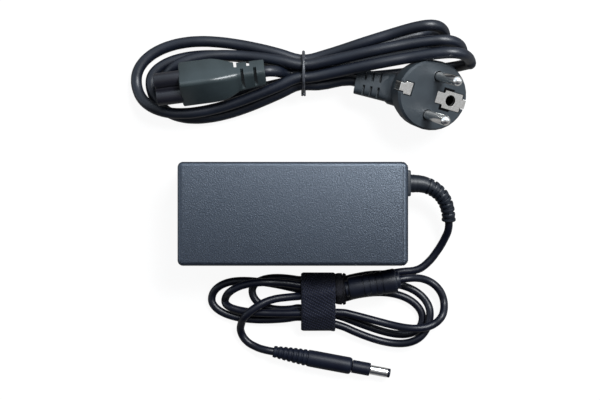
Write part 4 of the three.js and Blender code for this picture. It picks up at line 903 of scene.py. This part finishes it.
# Output plug: ribbed grip, collar, nickel barrel with a dark tip ring and a centre pin.
plug = {"grip": 39.1, "startRadius": 2.8, "endRadius": 4.15, "taper": 22, "ribs": 7, "ribbed": 17,
        "ribDepth": 0.45, "gap": 0.3, "collarRadius": 3.2, "collar": 8.8, "barrelRadius": 2.3,
        "boreRadius": 1.5, "barrel": 8.4, "tip": 1.2, "tipGap": 0.1, "pinRadius": 0.4}
ridge = ((0.1, 0), (0.3, 0), (0.48, 0.05), (0.54, 0.6), (0.6, 1), (0.84, 1), (0.9, 0.6), (0.96, 0.05))
outputPlugPlace = Matrix.Translation(outputPlugStart) @ rotation(outputPlugTurn, "Z")


def gripRadius(x):
    return lerp(plug["startRadius"], plug["endRadius"], math.sin(min(x / plug["taper"], 1) * math.pi / 2))


def gripProfile():
    length, end = plug["grip"], plug["endRadius"]
    pitch = plug["ribbed"] / plug["ribs"]
    profile = [(0, 0), (0, gripRadius(0) - 0.5), (0.15, gripRadius(0) - 0.15), (0.4, gripRadius(0.4))]
    for k in range(plug["ribs"]):
        for step, dip in ridge:
            x = 0.4 + (k + step) * pitch
            profile.append((x, gripRadius(x) - plug["ribDepth"] * dip))
    for k in range(6):
        x = lerp(plug["ribbed"] + 0.7, plug["taper"], k / 5)
        profile.append((x, gripRadius(x)))
    return profile + [(length - 1.6, end), (length - 0.9, end - 0.1), (length - 0.4, end - 0.45),
                      (length, end - 1.1), (length, 0)]


def makeOutputPlug():
    collar, barrel, bore, pin = (plug[n] for n in ("collarRadius", "barrelRadius", "boreRadius", "pinRadius"))
    collarStart = plug["grip"] + plug["gap"]
    barrelStart = collarStart + plug["collar"] + plug["gap"]
    collarEnd = barrelStart - plug["gap"]
    barrelEnd = barrelStart + plug["barrel"]
    tipStart = barrelEnd + plug["tipGap"]
    tipEnd = tipStart + plug["tip"]
    rows = [
        ("grip", gripPlastic, "grip", "moulding", 56, gripProfile()),
        ("collar", gripPlastic, "collar", "moulding", 48,
         [(collarStart, 0), (collarStart, collar), (collarEnd - 0.4, collar),
          (collarEnd - 0.1, collar - 0.15), (collarEnd, collar - 0.45), (collarEnd, 0)]),
        ("barrel", brightNickel, "barrel", "chrome", 56,
         [(barrelStart, 0), (barrelStart, barrel), (barrelEnd - 0.15, barrel), (barrelEnd, barrel - 0.15),
          (barrelEnd, bore), (barrelStart + 1, bore), (barrelStart + 1, 0)]),
        ("tip_ring", gripPlastic, "tip_insulator", "moulding", 48,
         [(tipStart, bore), (tipStart, barrel - 0.1), (tipEnd - 0.2, barrel - 0.12), (tipEnd, barrel - 0.4),
          (tipEnd, bore), (tipStart, bore)]),
        ("centre_pin", brightBrass, "centre_pin", "brass", 24,
         [(barrelStart + 1.2, 0), (barrelStart + 1.2, pin), (barrelEnd - 0.6, pin),
          (barrelEnd - 0.4, pin / 2), (barrelEnd - 0.4, 0)]),
    ]
    return [turnedPiece("plug_" + name, profile, material, "adapter", ("dc_plug_" + node,),
                        outputPlugPlace, steps) for name, material, node, slot, steps, profile in rows]


plugGrip, plugCollar, plugBarrel, plugTip, plugPin = makeOutputPlug()
print("output plug made")


# Cloverleaf connector: a three-lobed nose with its contacts, held in a rounded body with a slotted tail.
connector = {"nose": 11.9, "noseLap": 0.4, "lobe": 3.9, "core": 4.6, "block": 14.5, "body": 27.6,
             "width": 16.4, "height": 15.8, "round": 2, "rise": 1.3, "fullness": 1.36, "endFullness": 1.02,
             "roll": 40, "tail": 13.3, "tailWidth": 9.9, "tailHeight": 9.3, "spine": 0.7, "slots": 4,
             "slot": 1.5, "slotLead": 1.4, "slotShare": 4.3, "slotReach": 1.5, "contactOuter": 1.8,
             "contactInner": 1.3, "contactLength": 9.2, "contactInset": 1.5, "bore": 2.1, "boreEnd": 1.2}
contactPlaces = {"line": (-4.6, -2.4), "neutral": (4.6, -2.4), "earth": (0, 4.2)}


def cloverRing(steps=144):
    circles = [(y, z, connector["lobe"]) for y, z in contactPlaces.values()] + [(0, 0, connector["core"])]
    ring = []
    for k in range(steps):
        dy, dz = math.cos(turn * k / steps), math.sin(turn * k / steps)
        reach = 0
        for y, z, radius in circles:
            along = y * dy + z * dz
            inside = radius ** 2 - (y ** 2 + z ** 2 - along ** 2)
            if inside > 0:
                reach = max(reach, along + math.sqrt(inside))
        ring.append((reach * dy, reach * dz))
    return ring


def makeNose():
    ring = cloverRing()
    length = connector["nose"]
    bm = loftMesh([(x, [(y * share, z * share) for y, z in ring]) for x, share in
                   ((0, 0.95), (0.15, 0.985), (0.4, 1), (length + connector["noseLap"], 1))])
    nose = finishPiece("connector_nose", bm, nosePlastic, "mains_lead", ("mains_connector_nose",),
                       connectorPlace, 28)
    bores = []
    for y, z in contactPlaces.values():
        deep = length - connector["boreEnd"]
        bore = turnedMesh([(-1, 0), (-1, connector["bore"]), (deep, connector["bore"]), (deep, 0)], 32)
        bore.transform(connectorPlace @ Matrix.Translation((0, y, z)))
        bores.append(bore)
    carve(nose, bores)
    nose.data.set_sharp_from_angle(angle=math.radians(28))
    return nose


def makeConnectorBody():
    # a rounded block, a taper that stays full below, then a tail notched from both sides to its middle spine
    start = connector["nose"]
    blockEnd = start + connector["block"]
    end = start + connector["body"]
    tailEnd = end + connector["tail"]
    spine, slot = connector["spine"], connector["slot"]
    pitch = connector["tail"] / connector["slotShare"]
    roll = math.radians(connector["roll"])
    down = Vector((math.cos(roll), math.sin(roll)))

    def section(x, trim=0.0, notch=0, through=False):
        t = min(max((x - blockEnd) / (end - blockEnd), 0), 1)
        narrow = ease(t) * 0.35 + t ** 1.6 * 0.65
        width = lerp(connector["width"], connector["tailWidth"], narrow) - trim
        height = lerp(connector["height"], connector["tailHeight"], narrow) - trim
        full = lerp(1, connector["fullness"], ease(t))
        if x >= end:
            full = lerp(connector["fullness"], connector["endFullness"], (x - end) / (tailEnd - end))
        points = []
        for y, z in roundedRing(width, height, connector["round"]):
            spot = Vector((y, z + connector["rise"] * narrow))
            spot += down * min(spot.dot(down), 0) * (full - 1)
            reached = spot.y > -connector["slotReach"]
            if notch > 0 and (through or reached):
                spot.x = min(spot.x, spine)
            if notch < 0 and reached:
                spot.x = max(spot.x, -spine)
            points.append(tuple(spot))
        return x, points

    first = end - connector["slotLead"]
    stations = [section(start, 1.2), section(start + 0.2, 0.5), section(start + 0.6), section(blockEnd - 0.3)]
    stations += [section(lerp(blockEnd, first - 0.4, k / 11)) for k in range(12)]
    for k in range(connector["slots"]):
        x = first + k * pitch
        side = 1 if k % 2 == 0 else -1
        stations += [section(x), section(x + 0.02, 0, side, k == 0),
                     section(x + slot - 0.02, 0, side, k == 0), section(x + slot)]
    stations += [section(tailEnd - 0.5), section(tailEnd - 0.1, 0.5), section(tailEnd, 1.1)]
    return finishPiece("connector_body", loftMesh(stations), connectorPlastic, "mains_lead",
                       ("mains_connector_body",), connectorPlace, 34)


def makeContact(name, y, z):
    inner, outer, start = connector["contactInner"], connector["contactOuter"], connector["contactInset"]
    end = start + connector["contactLength"]
    profile = [(start, inner), (start, outer), (end, outer), (end, inner), (start, inner)]
    place = connectorPlace @ Matrix.Translation((0, y, z))
    return turnedPiece("connector_sleeve_" + name, profile, brightBrass, "mains_lead",
                       ("connector_contact_" + name,), place, 28)


connectorNose = makeNose()
connectorBody = makeConnectorBody()
connectorContacts = [makeContact(name, *spot) for name, spot in contactPlaces.items()]
print("connector made")


# Twist tie: covered wire round the bundle, its ends wound together.
tie = {"radius": 0.75, "reach": 3.75, "swing": 25, "out": 3, "tail": 2, "twists": 1, "apart": 0.62,
       "tailShare": 0.75}


def makeTie():
    data = startTube("tie_wire", tie["radius"], 4, 6)
    ring = []
    for sixth in range(6):
        for swing in (-tie["swing"], 0, tie["swing"]):
            angle = math.radians(sixth * 60 + swing)
            ring.append(mainsStrand(sixth)[1] + Vector((0, math.cos(angle), math.sin(angle))) * tie["reach"])
    addRun(data, ring, closed=True)
    start = Vector((mainsCord["tieX"], mainsCord["tieY"] - mainsCord["pitch"] - tie["out"], tieZ))
    for side in (0, math.pi):
        tail = []
        for k in range(25):
            angle = side + turn * tie["twists"] * k / 24
            tail.append(start + Vector((tie["apart"] * math.cos(angle), -tie["tail"] * k / 24,
                                        tie["apart"] * math.sin(angle))))
        addRun(data, tail, share=tie["tailShare"])
    return finishTube(data, coveredWire, "mains_lead", ("twist_tie",))


tieWire = makeTie()


# Mains plug: a round head with two pins, earth plates at its edges and an earth socket, and a slotted tail.
head = {"pinSpacing": 19, "pinRadius": 2.4, "pinLength": 19, "pinRoot": 4, "socketX": 10, "socketRadius": 2.4,
        "sleeveRadius": 3.2, "sleeveDepth": 11, "sleeveBottom": -12.5}
# the pins' round ends, as distances from the end and shares of the radius
pinEnd = ((2.2, 1), (1.7, 0.97), (1.1, 0.87), (0.5, 0.68), (0.12, 0.42), (0, 0.22), (0, 0))
plate = {"edge": 5.9, "width": 8.6, "tab": 5.6, "slotWidth": 1.2, "slotLength": 4.6, "slotRise": 0.06,
         "slotDepth": 0.5, "tabGap": 0.2, "sideGap": 0.1}
upTurn = rotation(-90, "Y")  # +X onto +Z


def makePin(name, side):
    top = head["pinRoot"] + head["pinLength"]
    profile = [(0, 0), (0, head["pinRadius"])] + [(top - x, head["pinRadius"] * share) for x, share in pinEnd]
    place = plugHeadPlace @ Matrix.Translation((0, side * head["pinSpacing"] / 2, -head["pinRoot"])) @ upTurn
    return turnedPiece("plug_pin_" + name, profile, brightNickel, "mains_lead", ("mains_plug_pin_" + name,),
                       place, sharp=40)


def makeSleeve():
    inner, outer, deep = head["socketRadius"], head["sleeveRadius"], head["sleeveDepth"]
    profile = [(0, inner), (0, outer), (deep - 0.2, outer), (deep, outer - 0.2), (deep, inner + 0.15),
               (deep - 0.15, inner), (0, inner)]
    place = plugHeadPlace @ Matrix.Translation((head["socketX"], 0, head["sleeveBottom"])) @ upTurn
    # the sleeve is painted near black as the shade down in the socket
    return turnedPiece("earth_sleeve", profile, paintedShadeNickel, "mains_lead", ("earth_socket",),
                       place, sharp=40)


def makeSlotShade():
    # near-black blocks in the face beside the corners of the right earth plate: painted shade for the open
    # slots there
    edge, half, tab = plate["edge"], plate["width"] / 2, plate["tab"] / 2
    outer = half + plate["slotWidth"]
    bm = bmesh.new()
    for side in (-1, 1):
        for x0, x1, inner in ((edge - plate["slotWidth"], edge, tab + plate["tabGap"]),
                              (edge, edge + plate["slotLength"], half + plate["sideGap"])):
            y0, y1 = sorted((side * inner, side * outer))
            addTo(bm, blockMesh(x0, x1, y0, y1, -plate["slotDepth"], plate["slotRise"]))
    return finishPiece("earth_plate_slot_shade", bm, paintedSlotShade, "mains_lead", (), plugHeadPlace)


plugBody = dressedCopy("mains_plug_body", plugPlastic, "mains_lead", sharp=28, bevel=0.22)
plugPins = [makePin("line", -1), makePin("neutral", 1)]
earthSleeve = makeSleeve()
earthClips = [dressedCopy("earth_clip_" + side, plateNickel, "mains_lead", bevel=0.3)
              for side in ("left", "right")]
slotShadeBlocks = makeSlotShade()
print("mains plug made")


# White ground that still takes the object's shadow, surroundings that grow lighter towards the far side and
# the sides, a key lamp beyond the far right corner, a strip along the far side and a weak lamp either side.
light = {"floorGlow": 0.93, "floorShine": 0.22, "floorBounce": 0.1, "floorSize": 3.0, "floorDrop": 0.0001,
         "farSide": (0.80, 0.90, 1.0), "overhead": (0.36, 0.36, 0.37), "nearSide": (0.05, 0.055, 0.07),
         "skyStops": (0.4, 0.7, 0.9), "skyAside": 0.3, "skyAway": 0.45, "skyAbove": 0.2, "skyMiddle": 0.5,
         "world": (0.22, 0.23, 0.26), "keyPower": 19, "keySize": (0.5, 0.34), "keyPlace": (0.4, 0.47, 0.82),
         "keyColor": (0.95, 0.98, 1.0), "stripPower": 1.3, "stripSize": (1.6, 0.3),
         "stripPlace": (-0.1, 0.85, 0.55), "stripColor": (0.78, 0.9, 1.0), "sidePower": 1.1,
         "sideSize": (0.2, 0.9), "sidePlace": (0.95, 0.1, 0.3)}


def shownShares(tree):
    # two shares: 1 for the camera's own rays, and 1 for all that the camera, a shine or glass shows
    seen = addNode(tree, "LightPath", {}, "Is Camera Ray")
    shown = seen
    for kind in ("Is Glossy Ray", "Is Transmission Ray"):
        shown = addMath(tree, "MAXIMUM", shown, seen.node.outputs[kind])
    return seen, shown


def mixColors(tree, share, first, second):
    mix = tree.nodes.new("ShaderNodeMix")
    mix.data_type = "RGBA"
    for socket, color in ((mix.inputs["A"], first), (mix.inputs["B"], second)):
        if isinstance(color, tuple):
            socket.default_value = (*color, 1)
        else:
            tree.links.new(color, socket)
    tree.links.new(share, mix.inputs["Factor"])
    return mix.outputs["Result"]


def makeFloor():
    bm = bmesh.new()
    bmesh.ops.create_grid(bm, x_segments=1, y_segments=1, size=light["floorSize"] / 2)
    bmesh.ops.translate(bm, vec=(0, 0, -light["floorDrop"]), verts=bm.verts)
    data = bpy.data.meshes.new("floor")
    bm.to_mesh(data)
    bm.free()
    floor = addObject("floor", data)
    material = bpy.data.materials.new("whiteGround")
    material.use_nodes = True
    tree = material.node_tree
    tree.nodes.clear()
    seen, shown = shownShares(tree)
    color = mixColors(tree, seen, (light["floorBounce"],) * 3, (1, 1, 1))
    share = addMath(tree, "MAXIMUM", addMath(tree, "MULTIPLY", seen, light["floorGlow"]),
                    addMath(tree, "MULTIPLY", shown, light["floorShine"]))
    diffuse = addNode(tree, "BsdfDiffuse", {"Color": color})
    glow = addNode(tree, "Emission", {"Strength": 1.0})
    surface = addNode(tree, "MixShader", {"Fac": share, 1: diffuse, 2: glow})
    out = tree.nodes.new("ShaderNodeOutputMaterial")
    tree.links.new(surface, out.inputs["Surface"])
    data.materials.append(material)


def makeWorld():
    world = bpy.data.worlds.new("whiteWorld")
    bpy.context.scene.world = world
    world.use_nodes = True
    tree = world.node_tree
    split = addNode(tree, "SeparateXYZ", {"Vector": addNode(tree, "TexCoord", {}, "Generated")})
    x, y, z = split.node.outputs
    turned = light["skyMiddle"]
    for part, weight in ((addMath(tree, "ABSOLUTE", x, 0), light["skyAside"]), (y, light["skyAway"]),
                         (z, light["skyAbove"])):
        turned = addMath(tree, "ADD", turned, addMath(tree, "MULTIPLY", part, weight))
    colors = (light["nearSide"], light["overhead"], light["farSide"])
    sky = addRamp(tree, turned, list(zip(light["skyStops"], colors)))
    seen, shown = shownShares(tree)
    sky = mixColors(tree, shown, light["world"], sky)
    background = tree.nodes["Background"]
    tree.links.new(mixColors(tree, seen, sky, (1, 1, 1)), background.inputs["Color"])
    background.inputs["Strength"].default_value = 1.0


def addLamp(name, place, size, power, color):
    data = bpy.data.lights.new(name, "AREA")
    data.shape = "RECTANGLE"
    data.size, data.size_y = size
    data.energy = power
    data.color = color
    lamp = addObject(name, data)
    lamp.location = place
    lamp.rotation_euler = Vector(place).to_track_quat("Z", "Y").to_euler()


makeFloor()
makeWorld()
addLamp("keyLamp", light["keyPlace"], light["keySize"], light["keyPower"], light["keyColor"])
addLamp("stripLamp", light["stripPlace"], light["stripSize"], light["stripPower"], light["stripColor"])
for side, name in ((-1, "leftLamp"), (1, "rightLamp")):
    place = (side * light["sidePlace"][0], *light["sidePlace"][1:])
    addLamp(name, place, light["sideSize"], light["sidePower"], light["stripColor"])
bpy.context.scene.view_settings.view_transform = "Standard"

print("scene made")
